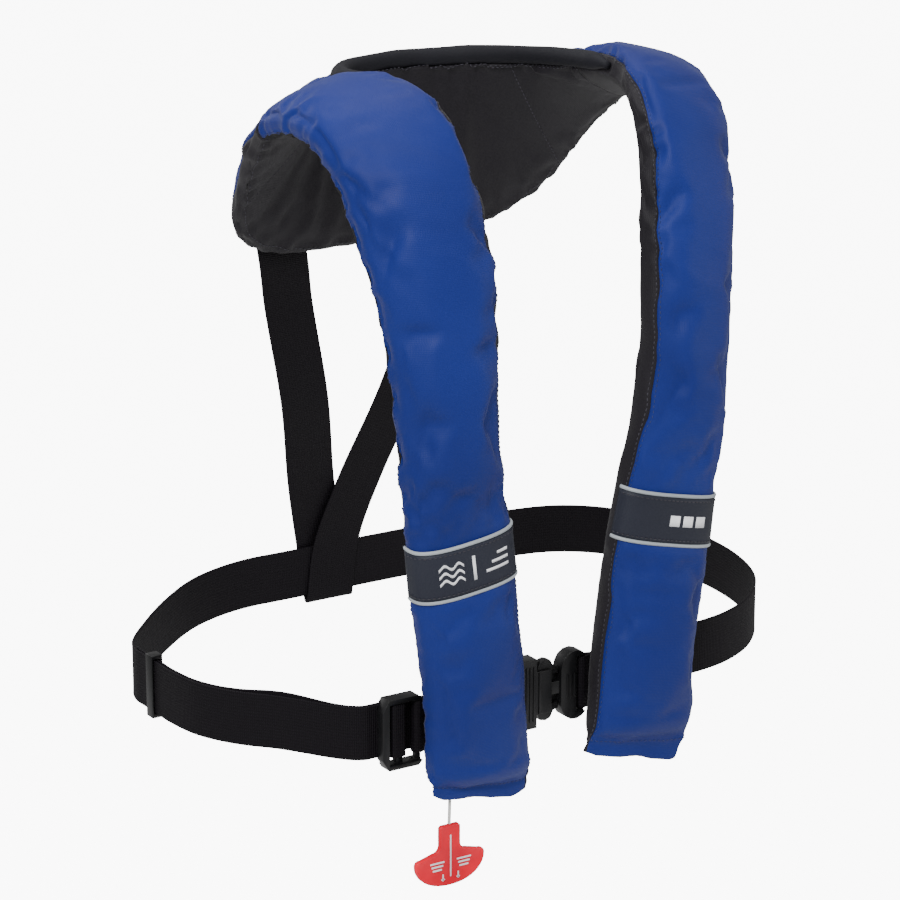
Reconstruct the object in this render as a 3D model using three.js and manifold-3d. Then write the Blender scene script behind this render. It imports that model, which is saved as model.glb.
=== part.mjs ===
// Inflatable life jacket of the horseshoe kind, worn over the shoulders and held by a waist belt.
// Millimetres, +Z up. The wearer faces -Y, so the wearer's left is +X. The origin is the neck rest:
// the point between the shoulders on which the wearer carries the jacket.

import * as THREE from "three";
import { mergeVertices } from "three/addons/utils/BufferGeometryUtils.js";
import Module from "manifold-3d";

// ---------------------------------------------------------------- driving dimensions

const GAP = 0.3; // left between two pieces that touch
const JACKET_WIDTH = 312; // over the outer edges of the shoulders
const JACKET_DROP = 450; // from the neck rest to the bottom of a lobe
const CLOTH = 1.6; // one wall of the cover with its seam allowance
const LEFT_LIFT = 18; // the left lobe's inner corner hangs this much higher than the right's
const LEFT_LIFT_STATIONS = 7; // and the lift has faded out this far up the lobe
const LEFT_CORNER_DROP = 13; // its outer corner hangs this much lower
const LEFT_CORNER_IN = 11; // and this much nearer the middle
const BLADDER_CLEAR = 2.6; // around the folded bladder
const ROLL_WIDTH = 14; // neck roll, across the neckline
const ROLL_THICK = 13;
const BAND_UP = 159; // reflective band's lower edge, above the bottom of the lobes
const BAND_BOTTOM = BAND_UP - JACKET_DROP;
const BAND_HEIGHT = 38;
const BAND_THICK = 1.2;
const PIPING_HEIGHT = 3;
const PIPING_THICK = 1.9;

const WEB_WIDTH = 38; // belt and back strap webbing
const WEB_THICK = 2;
const WEB_CLEAR = 0.6; // webbing in a slot, each side
const BELT_UP = 64; // middle of the belt, above the bottom of the lobes
const BELT_HEIGHT = BELT_UP - JACKET_DROP;
const ADJUSTER_SAG = 10; // the belt hangs this much lower at the adjuster
const BUCKLE_SAG = 5; // and at the buckle
const BELT_FRONT = -115.5; // plane of the belt and its hardware at the chest
const BELT_BACK = 172; // plane of the belt at the spine

const BUCKLE_X = 8; // where plug and socket meet
const BUCKLE_HEIGHT = 50;
const BUCKLE_THICK = 12;
const ADJUSTER_X = -106;
const ADJUSTER_HEIGHT = 50;
const ADJUSTER_DROP = 2; // its frame hangs on the webbing's upper edge
const ADJUSTER_THICK = 11;

const CYLINDER_DIAMETER = 21; // gas cylinder
const BLADDER_PACK = 13; // folded bladder and covers in front of and behind the cylinder
const LOBE_DEPTH = CYLINDER_DIAMETER + BLADDER_PACK; // a packed lobe, front to back
const CYLINDER_LENGTH = 88;
const CYLINDER_CLEAR = 1.3; // between the cylinder and the front cover
const INFLATOR_ASIDE = 4.71; // from the middle of the lobe towards the neck edge
const INFLATOR_UP = 53; // middle of the inflator body, above the bottom of the lobes
const INFLATOR_HEIGHT = INFLATOR_UP - JACKET_DROP;
const LEVER_REACH = 19; // pivot to the lanyard eye
const LANYARD_DIAMETER = 2.2;
const TAB_WIDTH = 55;
const TAB_HEIGHT = 44;
const TAB_THICK = 4;
const TAB_BELOW = 11; // top of the tab, below the bottom of the lobes
const TAB_TOP = -JACKET_DROP - TAB_BELOW;
const ORAL_UP = 204; // foot of the oral tube, above the bottom of the lobes
const ORAL_BASE = ORAL_UP - JACKET_DROP;
const ORAL_TUBE_DIAMETER = 12;
const ORAL_TUBE_LENGTH = 72;

// ---------------------------------------------------------------- colours and finishes

const finish = (color, roughness, metalness = 0) =>
  new THREE.MeshStandardMaterial({ color, roughness, metalness });

const BLUE_NYLON = finish(0x26469a, 0.62);
const LINING = finish(0x2d2b32, 0.75);
const NEOPRENE = finish(0x2a2c31, 0.85);
const BAND_CLOTH = finish(0x32343e, 0.7);
const PIPING = finish(0x96a0a5, 0.45);
const BLADDER_YELLOW = finish(0xd8c520, 0.5);
const HOOK_TAPE = finish(0x1b1b1f, 0.95);
const WEBBING = finish(0x150e18, 0.8);
const BLACK_PLASTIC = finish(0x101013, 0.38);
const WHITE_PLASTIC = finish(0xd8d8d4, 0.45);
const RED_PLASTIC = finish(0xe11e2d, 0.35);
const WHITE_CORD = finish(0xe6e6e2, 0.7);
const STEEL = finish(0x9a9ca0, 0.35, 0.9);
const RUBBER = finish(0x1a1a1a, 0.9);

const wasm = await Module();
wasm.setup();
const jacket = new THREE.Group();

// ---------------------------------------------------------------- the shoulder rails

// The jacket is one horseshoe strip. At each station it is given by its inner (neck) edge, its
// outer (arm) edge and how plump it is there. The list is the wearer's right half, from the
// bottom of the front lobe over the shoulder to the middle of the back, for a jacket of
// PATTERN_WIDTH and PATTERN_DROP. The other half is its mirror image.
const PATTERN_WIDTH = 312;
const PATTERN_DROP = 450;
const HALF_PATTERN = [
  { neck: [-25, -137, -450], arm: [-104, -141, -439], plump: 0.5 },
  { neck: [-26, -137, -425], arm: [-105, -142, -418], plump: 0.95 },
  { neck: [-30, -137, -371], arm: [-107, -143, -372], plump: 1 },
  { neck: [-37, -138.5, -310], arm: [-114, -142, -317], plump: 1 },
  { neck: [-46, -142.5, -250], arm: [-120, -142, -259], plump: 1 },
  { neck: [-55, -151, -185], arm: [-127, -142, -193], plump: 0.97 },
  { neck: [-58, -152, -120], arm: [-134, -137, -125], plump: 0.92 },
  { neck: [-60, -147, -65], arm: [-144, -125, -68], plump: 0.88 },
  { neck: [-67, -133, -18], arm: [-152, -104, -22], plump: 0.85 },
  { neck: [-74, -108, 15], arm: [-154, -75, 1], plump: 0.82 },
  { neck: [-80, -72, 25], arm: [-153, -40, 3], plump: 0.75 },
  { neck: [-84, -28, 22], arm: [-148, 0, -9], plump: 0.66 },
  { neck: [-76, 20, 16], arm: [-138, 44, -50], plump: 0.58 },
  { neck: [-54, 52, 13], arm: [-119, 83, -98], plump: 0.55 },
  { neck: [-27, 67, 11], arm: [-74, 97, -119], plump: 0.55 },
  { neck: [0, 71, 11], arm: [0, 99, -121], plump: 0.55 },
];
const BACK_MIDDLE = HALF_PATTERN.length - 1; // station at the spine
const LAST_STATION = 2 * BACK_MIDDLE;
const SHOULDER_SEAM = 11; // station where front and back covers meet
const KNOT = 0.5; // every strip piece bends at the same stations

const graded = ([x, y, z]) =>
  new THREE.Vector3(
    (x * JACKET_WIDTH) / PATTERN_WIDTH,
    y,
    z < 0 ? (z * JACKET_DROP) / PATTERN_DROP : z,
  );

// The left half's point: mirrored, lifted at the inner edge near the bottom of the lobe, and
// with its outer corner let down.
function mirrored(point, station, edge) {
  const fade = Math.max(0, 1 - station / LEFT_LIFT_STATIONS);
  const lift = edge === "neck" ? LEFT_LIFT * fade : 0;
  const corner = edge === "arm" && station === 0;
  const inward = corner ? LEFT_CORNER_IN : 0;
  const drop = corner ? LEFT_CORNER_DROP : 0;
  return new THREE.Vector3(-point.x - inward, point.y, point.z + lift - drop);
}

function railCurve(edge) {
  const half = HALF_PATTERN.map((station) => graded(station[edge]));
  const other = half.slice(0, -1).map((point, i) => mirrored(point, i, edge)).reverse();
  return new THREE.CatmullRomCurve3([...half, ...other], false, "catmullrom", 0.5);
}
const neckRail = railCurve("neck");
const armRail = railCurve("arm");

function plumpAt(station) {
  const right = Math.min(station, LAST_STATION - station);
  const below = Math.min(Math.floor(right), BACK_MIDDLE - 1);
  const from = HALF_PATTERN[below].plump;
  return from + (HALF_PATTERN[below + 1].plump - from) * (right - below);
}

// The strip's own frame at a station: across runs from the neck edge to the arm edge, out
// points away from the wearer.
function frameAt(station) {
  const at = (rail, s) => rail.getPoint(THREE.MathUtils.clamp(s / LAST_STATION, 0, 1));
  const neck = at(neckRail, station);
  const arm = at(armRail, station);
  const middle = neck.clone().add(arm).multiplyScalar(0.5);
  const step = 0.05;
  const ahead = at(neckRail, station + step).add(at(armRail, station + step));
  const behind = at(neckRail, station - step).add(at(armRail, station - step));
  const across = arm.clone().sub(neck).normalize();
  const out = ahead.sub(behind).cross(across).normalize();
  return { neck, arm, middle, across, out, halfWidth: neck.distanceTo(arm) / 2 };
}

// The station of the right lobe whose middle is at a given height.
function stationAtHeight(height) {
  let low = 0;
  let high = 8;
  for (let i = 0; i < 30; i++) {
    const half = (low + high) / 2;
    if (frameAt(half).middle.z < height) low = half;
    else high = half;
  }
  return low;
}

// ---------------------------------------------------------------- shaping functions

const HALF_SECTION = 40; // half the width that strip sections are drawn for
const HALF_DEPTH = LOBE_DEPTH / 2;
const SECTION_POWER = 2.6; // between an ellipse and a rectangle

function sectionPoint(halfX, halfY, degrees) {
  const angle = THREE.MathUtils.degToRad(degrees);
  const curve = (value, half) =>
    Math.sign(value) * half * Math.abs(value) ** (2 / SECTION_POWER);
  return new THREE.Vector2(curve(Math.cos(angle), halfX), curve(Math.sin(angle), halfY));
}

function sectionArc(halfX, halfY, from, to, pieces) {
  return Array.from({ length: pieces + 1 }, (_, i) =>
    sectionPoint(halfX, halfY, from + ((to - from) * i) / pieces),
  );
}

// A strip section of one wall: from one angle to another, grown by offset outside the cover.
function wallSection(offset, wall, from, to, pieces) {
  const outer = sectionArc(HALF_SECTION + offset, HALF_DEPTH + offset, from, to, pieces);
  const inside = offset - wall;
  const inner = sectionArc(HALF_SECTION + inside, HALF_DEPTH + inside, from, to, pieces);
  return [...outer, ...inner.reverse()];
}

function bare(geometry) {
  geometry.deleteAttribute("normal");
  geometry.deleteAttribute("uv");
  return mergeVertices(geometry, 1e-4);
}

// Places every vertex of a geometry where the function says.
function reshape(geometry, place) {
  const merged = bare(geometry);
  const position = merged.getAttribute("position");
  const vertex = new THREE.Vector3();
  for (let i = 0; i < position.count; i++) {
    vertex.fromBufferAttribute(position, i);
    const moved = place(vertex);
    position.setXYZ(i, moved.x, moved.y, moved.z);
  }
  return merged;
}

// Extrudes an outline in as many layers as there are places, and puts each layer in its place.
function layered(outline, places, put) {
  const layers = places.length - 1;
  const straight = new THREE.ExtrudeGeometry(new THREE.Shape(outline), {
    depth: layers,
    steps: layers,
    bevelEnabled: false,
  });
  return reshape(straight, (v) => put(places[Math.round(v.z)], v.x, v.y));
}

function stationsBetween(from, to) {
  const stations = [from];
  for (let s = Math.ceil(from / KNOT + 0.1) * KNOT; s < to - KNOT / 10; s += KNOT) stations.push(s);
  return [...stations, to];
}

// On the strip: x is shared out over its width there, y swells with it.
function onStrip(station, x, y) {
  const { middle, across, out, halfWidth } = frameAt(station);
  return middle
    .addScaledVector(across, (x * halfWidth) / HALF_SECTION)
    .addScaledVector(out, y * plumpAt(station));
}

// Along the neck edge: x and y are true millimetres from it.
function onNeckEdge(station, x, y) {
  const { neck, across, out } = frameAt(station);
  return neck.addScaledVector(across, x).addScaledVector(out, y);
}

const strip = (outline, from, to, put = onStrip) =>
  layered(outline, stationsBetween(from, to), put);

// The same piece on both lobes: the left one runs through the mirrored stations.
function onBothLobes(name, material, outline, from, to) {
  add(`right_${name}`, strip(outline, from, to), material);
  add(`left_${name}`, strip(outline, LAST_STATION - to, LAST_STATION - from), material);
}

function add(name, geometry, material, position = [0, 0, 0]) {
  const mesh = new THREE.Mesh(geometry, material);
  mesh.name = name;
  mesh.position.set(...position);
  jacket.add(mesh);
}

function box(x0, x1, y0, y1, z0, z1) {
  const geometry = new THREE.BoxGeometry(x1 - x0, y1 - y0, z1 - z0);
  return geometry.translate((x0 + x1) / 2, (y0 + y1) / 2, (z0 + z1) / 2);
}

// A round bar or hole along one axis, centred at a point.
function round(radius, length, axis, centre, sides = 20) {
  const geometry = new THREE.CylinderGeometry(radius, radius, length, sides);
  if (axis === "x") geometry.rotateZ(Math.PI / 2);
  if (axis === "z") geometry.rotateX(Math.PI / 2);
  return geometry.translate(...centre);
}

// A turned piece: [radius, height] points of a closed profile, turned about Z.
function turned(profile, sides = 24) {
  const points = profile.map(([r, h]) => new THREE.Vector2(r, h));
  if (THREE.ShapeUtils.isClockWise(points)) points.reverse();
  return new THREE.LatheGeometry([...points, points[0]], sides).rotateX(Math.PI / 2);
}

// A flat outline in the XZ plane, thick along Y and centred on it.
function plate(points, thick, holes = []) {
  const shape = new THREE.Shape(points.map(([x, z]) => new THREE.Vector2(x, z)));
  for (const hole of holes)
    shape.holes.push(new THREE.Path(hole.map(([x, z]) => new THREE.Vector2(x, z))));
  const geometry = new THREE.ExtrudeGeometry(shape, { depth: thick, bevelEnabled: false });
  return geometry.rotateX(Math.PI / 2).translate(0, thick / 2, 0);
}

function solid(geometry) {
  const merged = bare(geometry.clone());
  return new wasm.Manifold(
    new wasm.Mesh({
      numProp: 3,
      vertProperties: merged.getAttribute("position").array,
      triVerts: new Uint32Array(merged.index.array),
    }),
  );
}

function combine(first, joined, cutAway) {
  let result = solid(first);
  for (const geometry of joined) result = result.add(solid(geometry));
  for (const geometry of cutAway) result = result.subtract(solid(geometry));
  const mesh = result.getMesh();
  const geometry = new THREE.BufferGeometry();
  geometry.setAttribute("position", new THREE.BufferAttribute(mesh.vertProperties, mesh.numProp));
  geometry.setIndex(new THREE.BufferAttribute(mesh.triVerts, 1));
  return geometry;
}

const cut = (first, ...tools) => combine(first, [], tools);

// ---------------------------------------------------------------- covers, lining and bladder

const FRONT_WALL_FROM = -18; // degrees round the section, from the arm edge
const FRONT_WALL_TO = 198;
const CLOSURE_FROM = -42;
const SEAM = 2; // degrees left open at a seam
const SEAM_GAP = 0.01; // stations left open where covers meet end to end

function makeCovers() {
  const front = wallSection(0, CLOTH, FRONT_WALL_FROM, FRONT_WALL_TO, 14);
  const closure = wallSection(0, CLOTH, CLOSURE_FROM, FRONT_WALL_FROM - SEAM, 2);
  const panel = wallSection(0, CLOTH, FRONT_WALL_TO + SEAM, 360 + CLOSURE_FROM - SEAM, 7);
  const backFrom = SHOULDER_SEAM + SEAM_GAP;
  const backTo = LAST_STATION - backFrom;
  const seam = SHOULDER_SEAM - SEAM_GAP;

  onBothLobes("front_cover", BLUE_NYLON, front, 0, seam);
  onBothLobes("body_panel", LINING, panel, 0, seam);
  onBothLobes("closure_tape", HOOK_TAPE, closure, 0.5, seam);
  add("back_cover", strip(front, backFrom, backTo), BLUE_NYLON);
  add("back_lining", strip(panel, backFrom, backTo), LINING);
}

// The bladder. Where hardware shares a lobe with it, it lies flat behind a plane across the lobe.
function makeBladder() {
  const inset = CLOTH + BLADDER_CLEAR;
  const halfX = HALF_SECTION - inset;
  const halfY = HALF_DEPTH - inset;
  const crown = 1; // a flattened stretch still bulges this much
  const outline = sectionArc(halfX, halfY, 0, 360, 16).slice(0, -1);
  const flattened = (station, x, y) => {
    const free = onStrip(station, x, y);
    const pocket = hardwarePockets().find((p) => station >= p.from && station <= p.to);
    if (!pocket || free.y > pocket.plane) return free;
    const behind = (pocket.plane - frameAt(station).middle.y) / plumpAt(station);
    const edge = (Math.abs(behind) + crown) / halfY;
    const narrowing = (1 - edge ** SECTION_POWER) ** (1 / SECTION_POWER);
    // The points that are pressed flat keep their order round the section.
    const turn = Math.atan2(y / halfY, x / halfX);
    const around = turn < -Math.PI / 2 ? turn + 2 * Math.PI : turn;
    const share = Math.cos(((around + Math.PI / 3) * Math.PI) / (Math.PI + (2 * Math.PI) / 3));
    return onStrip(station, halfX * narrowing * share, -behind - crown * share ** 2);
  };
  add("bladder", strip(outline, 1, LAST_STATION - 1, flattened), BLADDER_YELLOW);
}

function makeNeckRoll() {
  const outline = [];
  for (let i = 0; i < 12; i++) {
    const point = sectionPoint(ROLL_WIDTH / 2, ROLL_THICK / 2, i * 30);
    outline.push(point.add(new THREE.Vector2(-GAP - ROLL_WIDTH / 2, 0)));
  }
  const from = 10;
  add("neck_roll", strip(outline, from, LAST_STATION - from, onNeckEdge), NEOPRENE);
}

function makeBands() {
  const bandGap = 0.5;
  const edge = FRONT_WALL_FROM + 6;
  const section = (thick) => wallSection(bandGap + thick, thick, edge, 180 - edge, 12);
  const ring = (name, material, thick, bottom, height) =>
    onBothLobes(
      name,
      material,
      section(thick),
      stationAtHeight(bottom),
      stationAtHeight(bottom + height),
    );
  const top = BAND_BOTTOM + BAND_HEIGHT;
  ring("reflective_band", BAND_CLOTH, BAND_THICK, BAND_BOTTOM, BAND_HEIGHT);
  ring("band_piping_top", PIPING, PIPING_THICK, top + GAP, PIPING_HEIGHT);
  ring("band_piping_bottom", PIPING, PIPING_THICK, BAND_BOTTOM - GAP - PIPING_HEIGHT, PIPING_HEIGHT);
}

// ---------------------------------------------------------------- belt and back strap

// Middle line of the belt's outer layer in plan, from its end at the plug, round the wearer's
// left side and back, to the adjuster.
const BELT_END = BUCKLE_X + 64;
const BELT_LAP = 2.6; // between the middles of two layers of webbing
const BELT_MAIN_FRONT = BELT_FRONT + BELT_LAP;
const KEEPER_X = -226;
const BELT_ROUTE = [
  [BELT_END, BELT_MAIN_FRONT],
  [100, BELT_MAIN_FRONT],
  [120, BELT_MAIN_FRONT],
  [140, BELT_MAIN_FRONT],
  [164, -107],
  [196, -89],
  [226, -55],
  [243, -10],
  [248, 40],
  [242, 92],
  [224, 134],
  [194, 159],
  [150, 169],
  [100, BELT_BACK],
  [70, BELT_BACK],
  [45, BELT_BACK],
  [0, BELT_BACK],
  [-45, BELT_BACK],
  [-66, BELT_BACK],
  [-92, 167],
  [-124, 153],
  [-160, 125],
  [-196, 89],
  [-220, 60],
  [KEEPER_X, 44],
  [KEEPER_X, 30],
  [KEEPER_X, 10],
  [KEEPER_X, -4],
  [-221, -36],
  [-205, -66],
  [-178, -92],
];

function sampled(points, perSpan) {
  const curve = new THREE.CatmullRomCurve3(
    points.map(([x, y]) => new THREE.Vector3(x, y, 0)),
    false,
    "centripetal",
  );
  return curve.getPoints(perSpan * (points.length - 1)).map((p) => new THREE.Vector2(p.x, p.y));
}

// Both sides of a line, half a thickness away, as one closed outline.
function bandOutline(line, thick) {
  const normalAt = (i) => {
    const before = line[Math.max(i - 1, 0)];
    const after = line[Math.min(i + 1, line.length - 1)];
    const along = after.clone().sub(before).normalize();
    return new THREE.Vector2(along.y, -along.x);
  };
  const side = (offset) =>
    line.map((point, i) => point.clone().addScaledVector(normalAt(i), offset));
  return [...side(thick / 2), ...side(-thick / 2).reverse()];
}

// Quarter turn of a line about a centre, in degrees.
function bend(x, y, radius, from, to) {
  return Array.from({ length: 5 }, (_, i) => {
    const angle = THREE.MathUtils.degToRad(from + ((to - from) * i) / 4);
    return new THREE.Vector2(x + radius * Math.cos(angle), y + radius * Math.sin(angle));
  });
}

// How much lower than BELT_HEIGHT the webbing hangs, across the chest.
function sagAt(x) {
  const { smoothstep } = THREE.MathUtils;
  const toBuckle = smoothstep(x, -88, -46);
  const adjuster = smoothstep(x, -195, -134) * (1 - toBuckle);
  const buckle = toBuckle * (1 - smoothstep(x, 48, 150));
  return ADJUSTER_SAG * adjuster + BUCKLE_SAG * buckle;
}

// Webbing that stands on edge at the belt's height, from its outline in plan.
function uprightWeb(outline, holes = []) {
  const shape = new THREE.Shape(outline);
  for (const hole of holes) shape.holes.push(new THREE.Path(hole));
  const flat = new THREE.ExtrudeGeometry(shape, { depth: WEB_WIDTH, bevelEnabled: false });
  const bottom = BELT_HEIGHT - WEB_WIDTH / 2;
  const hang = (v) => new THREE.Vector3(v.x, v.y, v.z + bottom - (v.y < 0 ? sagAt(v.x) : 0));
  return reshape(flat, hang);
}

// Adjuster bars, from the adjuster's middle: the belt passes behind the outer bar, out through
// the first slot, over the middle bar and back in through the second slot.
const OUTER_BAR = [-22, -16.5];
const MIDDLE_BAR = [-10, -5];
const INNER_BAR = [5.5, 9];
const BAR_HALF_DEPTH = 2.4;
const TURN_RADIUS = 1.8;

function makeBelt() {
  const layerIn = BELT_MAIN_FRONT + 1;
  const over = BELT_FRONT - BAR_HALF_DEPTH - GAP - WEB_THICK / 2;
  const firstSlot = ADJUSTER_X + (OUTER_BAR[1] + MIDDLE_BAR[0]) / 2;
  const secondSlot = ADJUSTER_X + MIDDLE_BAR[1] + GAP + WEB_THICK / 2;
  const layerOut = layerIn + BELT_LAP;
  const r = TURN_RADIUS;
  const route = [...BELT_ROUTE, [-150, -107], [ADJUSTER_X - 30, layerIn], [ADJUSTER_X - 26, layerIn]];
  const outward = sampled(route, 3);
  const roundBar = [
    ...bend(firstSlot - r, layerIn - r, r, 90, 0),
    ...bend(firstSlot + r, over + r, r, 180, 270),
    ...bend(secondSlot - r, over + r, r, 270, 360),
    ...bend(secondSlot - r, layerOut - r, r, 0, 90),
  ];
  const tailFrom = outward.findIndex((p) => p.x < KEEPER_X + 1);
  const shifted = outward.slice(tailFrom).map((point, i, part) => {
    const before = part[Math.max(i - 1, 0)];
    const after = part[Math.min(i + 1, part.length - 1)];
    const along = after.clone().sub(before).normalize();
    return point.clone().addScaledVector(new THREE.Vector2(-along.y, along.x), BELT_LAP);
  });
  const line = [...outward, ...roundBar, ...shifted.reverse()];
  add("waist_belt", uprightWeb(bandOutline(line, WEB_THICK)), WEBBING);
}

// A bar that a web is sewn round: the web's end swells round it.
const EYE_HALF = BAR_HALF_DEPTH + GAP + WEB_THICK;

function eyeHole(from, to) {
  const half = BAR_HALF_DEPTH + GAP;
  return [
    [from - GAP, BELT_FRONT - half],
    [to + GAP, BELT_FRONT - half],
    [to + GAP, BELT_FRONT + half],
    [from - GAP, BELT_FRONT + half],
  ].map(([x, y]) => new THREE.Vector2(x, y));
}

const SOCKET_BAR = [BUCKLE_X - 45, BUCKLE_X - 41];
const PLUG_BAR = [BUCKLE_X + 23.5, BUCKLE_X + 27];

function makeSewnWebs() {
  const inner = INNER_BAR.map((x) => ADJUSTER_X + x);
  const reach = GAP + WEB_THICK;
  const flare = 5;
  const half = WEB_THICK + 0.1;
  const symmetric = (side) => [
    ...side.map(([x, y]) => new THREE.Vector2(x, BELT_FRONT - y)),
    ...side.reverse().map(([x, y]) => new THREE.Vector2(x, BELT_FRONT + y)),
  ];
  const front = symmetric([
    [inner[0] - reach, EYE_HALF - 1],
    [inner[0] - reach + 1, EYE_HALF],
    [inner[1] + reach - 1, EYE_HALF],
    [inner[1] + flare + 2, half],
    [SOCKET_BAR[0] - flare - 2, half],
    [SOCKET_BAR[0] - reach + 1, EYE_HALF],
    [SOCKET_BAR[1] + reach - 1, EYE_HALF],
    [SOCKET_BAR[1] + reach, EYE_HALF - 1],
  ]);
  add("front_web", uprightWeb(front, [eyeHole(...inner), eyeHole(...SOCKET_BAR)]), WEBBING);

  const lapEnd = BELT_END + 20;
  const split = PLUG_BAR[1] + 14;
  const outerFace = BELT_FRONT - WEB_THICK / 2;
  const plug = [
    [PLUG_BAR[0] - reach, BELT_FRONT - EYE_HALF + 1],
    [PLUG_BAR[0] - reach + 1, BELT_FRONT - EYE_HALF],
    [PLUG_BAR[1] + reach - 1, BELT_FRONT - EYE_HALF],
    [PLUG_BAR[1] + flare + 2, outerFace],
    [lapEnd, outerFace],
    [lapEnd, outerFace + WEB_THICK],
    [split, outerFace + WEB_THICK],
    [PLUG_BAR[1] + flare + 2, BELT_FRONT + half],
    [PLUG_BAR[1] + reach - 1, BELT_FRONT + EYE_HALF],
    [PLUG_BAR[0] - reach + 1, BELT_FRONT + EYE_HALF],
    [PLUG_BAR[0] - reach, BELT_FRONT + EYE_HALF - 1],
  ].map(([x, y]) => new THREE.Vector2(x, y));
  add("plug_web", uprightWeb(plug, [eyeHole(...PLUG_BAR)]), WEBBING);
}

// A flat ring round the webbing, open along the belt.
function ringAlongX(x0, x1, y, depth, hole, height, holeHeight) {
  const z = BELT_HEIGHT - sagAt((x0 + x1) / 2);
  const body = box(x0, x1, y - depth / 2, y + depth / 2, z - height / 2, z + height / 2);
  const opening = box(x0 - 1, x1 + 1, y - hole / 2, y + hole / 2, z - holeHeight / 2, z + holeHeight / 2);
  return cut(body, opening);
}

const SLEEVE_WALL = 1.2;

function makeSleevesAndKeeper() {
  const loops = [
    ["right_belt_loop", ADJUSTER_X + 20, ADJUSTER_X + 52, BELT_FRONT, 5.6],
    ["left_belt_loop", BELT_END + 6, BELT_END + 28, BELT_FRONT + BELT_LAP / 2, 7],
  ];
  const holeHeight = WEB_WIDTH + 7;
  for (const [name, x0, x1, y, hole] of loops) {
    const height = holeHeight + 2 * SLEEVE_WALL;
    const ring = ringAlongX(x0, x1, y, hole + 2 * SLEEVE_WALL, hole, height, holeHeight);
    add(name, ring, LINING);
  }
  const keeperY = 20;
  const width = 9;
  const layers = WEB_THICK + BELT_LAP + 2 * WEB_CLEAR;
  const frame = 3;
  const x = KEEPER_X + BELT_LAP / 2;
  const z = BELT_HEIGHT;
  const hole = WEB_WIDTH + 2 * WEB_CLEAR;
  const block = (halfX, halfY, halfZ) =>
    box(x - halfX, x + halfX, keeperY - halfY, keeperY + halfY, z - halfZ, z + halfZ);
  const keeper = cut(
    block(layers / 2 + frame / 2, width / 2, hole / 2 + frame),
    block(layers / 2, width, hole / 2),
  );
  add("belt_keeper", keeper, BLACK_PLASTIC);
}

// One length of webbing: down from the right side of the yoke outside the belt, folded under
// it, and up inside it to the left side of the yoke.
function makeBackStrap() {
  const clear = WEB_THICK + GAP;
  const outside = BELT_BACK + clear;
  const inside = BELT_BACK - clear;
  const foldHeight = BELT_HEIGHT - WEB_WIDTH / 2 - 2.6;
  const hem = HEM_FACE + GAP + WEB_THICK / 2;
  const yokeHem = graded(HALF_PATTERN[BACK_MIDDLE].arm).z;
  const run = 265; // from the yoke's hem to the middle of the belt, as the points are drawn
  const fall = (distance) => yokeHem + (distance / run) * (BELT_HEIGHT - yokeHem);
  const beltSide = fall(180); // below this the inner half passes behind the belt
  const down = [
    [-78, hem, yokeHem + 33],
    [-74, hem, yokeHem + 5],
    [-70.5, hem + 2.5, fall(10)],
    [-63, hem + 11, fall(39)],
    [-41, 132, fall(119)],
    [-20, 161, fall(192)],
    [-6, outside, fall(245)],
    [0, outside, foldHeight],
  ];
  const up = down
    .slice(0, -1)
    .reverse()
    .map(([x, y, z]) => [-x, z < beltSide ? y - 2 * clear + 0.8 : y, z]);
  up[0][1] = inside;
  const fold = [-45, -90, -135].map((degrees) => {
    const angle = THREE.MathUtils.degToRad(degrees);
    return [0, BELT_BACK + clear * Math.cos(angle), foldHeight + clear * Math.sin(angle)];
  });
  const line = [...down, ...fold, [0, inside, foldHeight], ...up].map(
    (point) => new THREE.Vector3(...point),
  );
  const slant = Math.cos(Math.atan2(74, 290));
  const half = WEB_WIDTH / 2 / slant;
  const sideways = new THREE.Vector3(1, 0, 0);
  const places = line.map((middle, i) => {
    const before = line[Math.max(i - 1, 0)];
    const after = line[Math.min(i + 1, line.length - 1)];
    const along = after.clone().sub(before).setX(0).normalize();
    return { middle, thickness: sideways.clone().cross(along) };
  });
  const section = [
    [-half, -WEB_THICK / 2],
    [half, -WEB_THICK / 2],
    [half, WEB_THICK / 2],
    [-half, WEB_THICK / 2],
  ].map(([x, y]) => new THREE.Vector2(x, y));
  const put = ({ middle, thickness }, x, y) =>
    middle.clone().addScaledVector(sideways, -x).addScaledVector(thickness, y);
  add("back_strap", layered(section, places, put), WEBBING);
}

// ---------------------------------------------------------------- buckle and adjuster

const socketSlot = WEB_THICK + 2 * WEB_CLEAR + 1.6;
const PRONG_ROOT = [BUCKLE_X + 5, 13]; // pivot of a prong: x, and height from the middle

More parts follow.
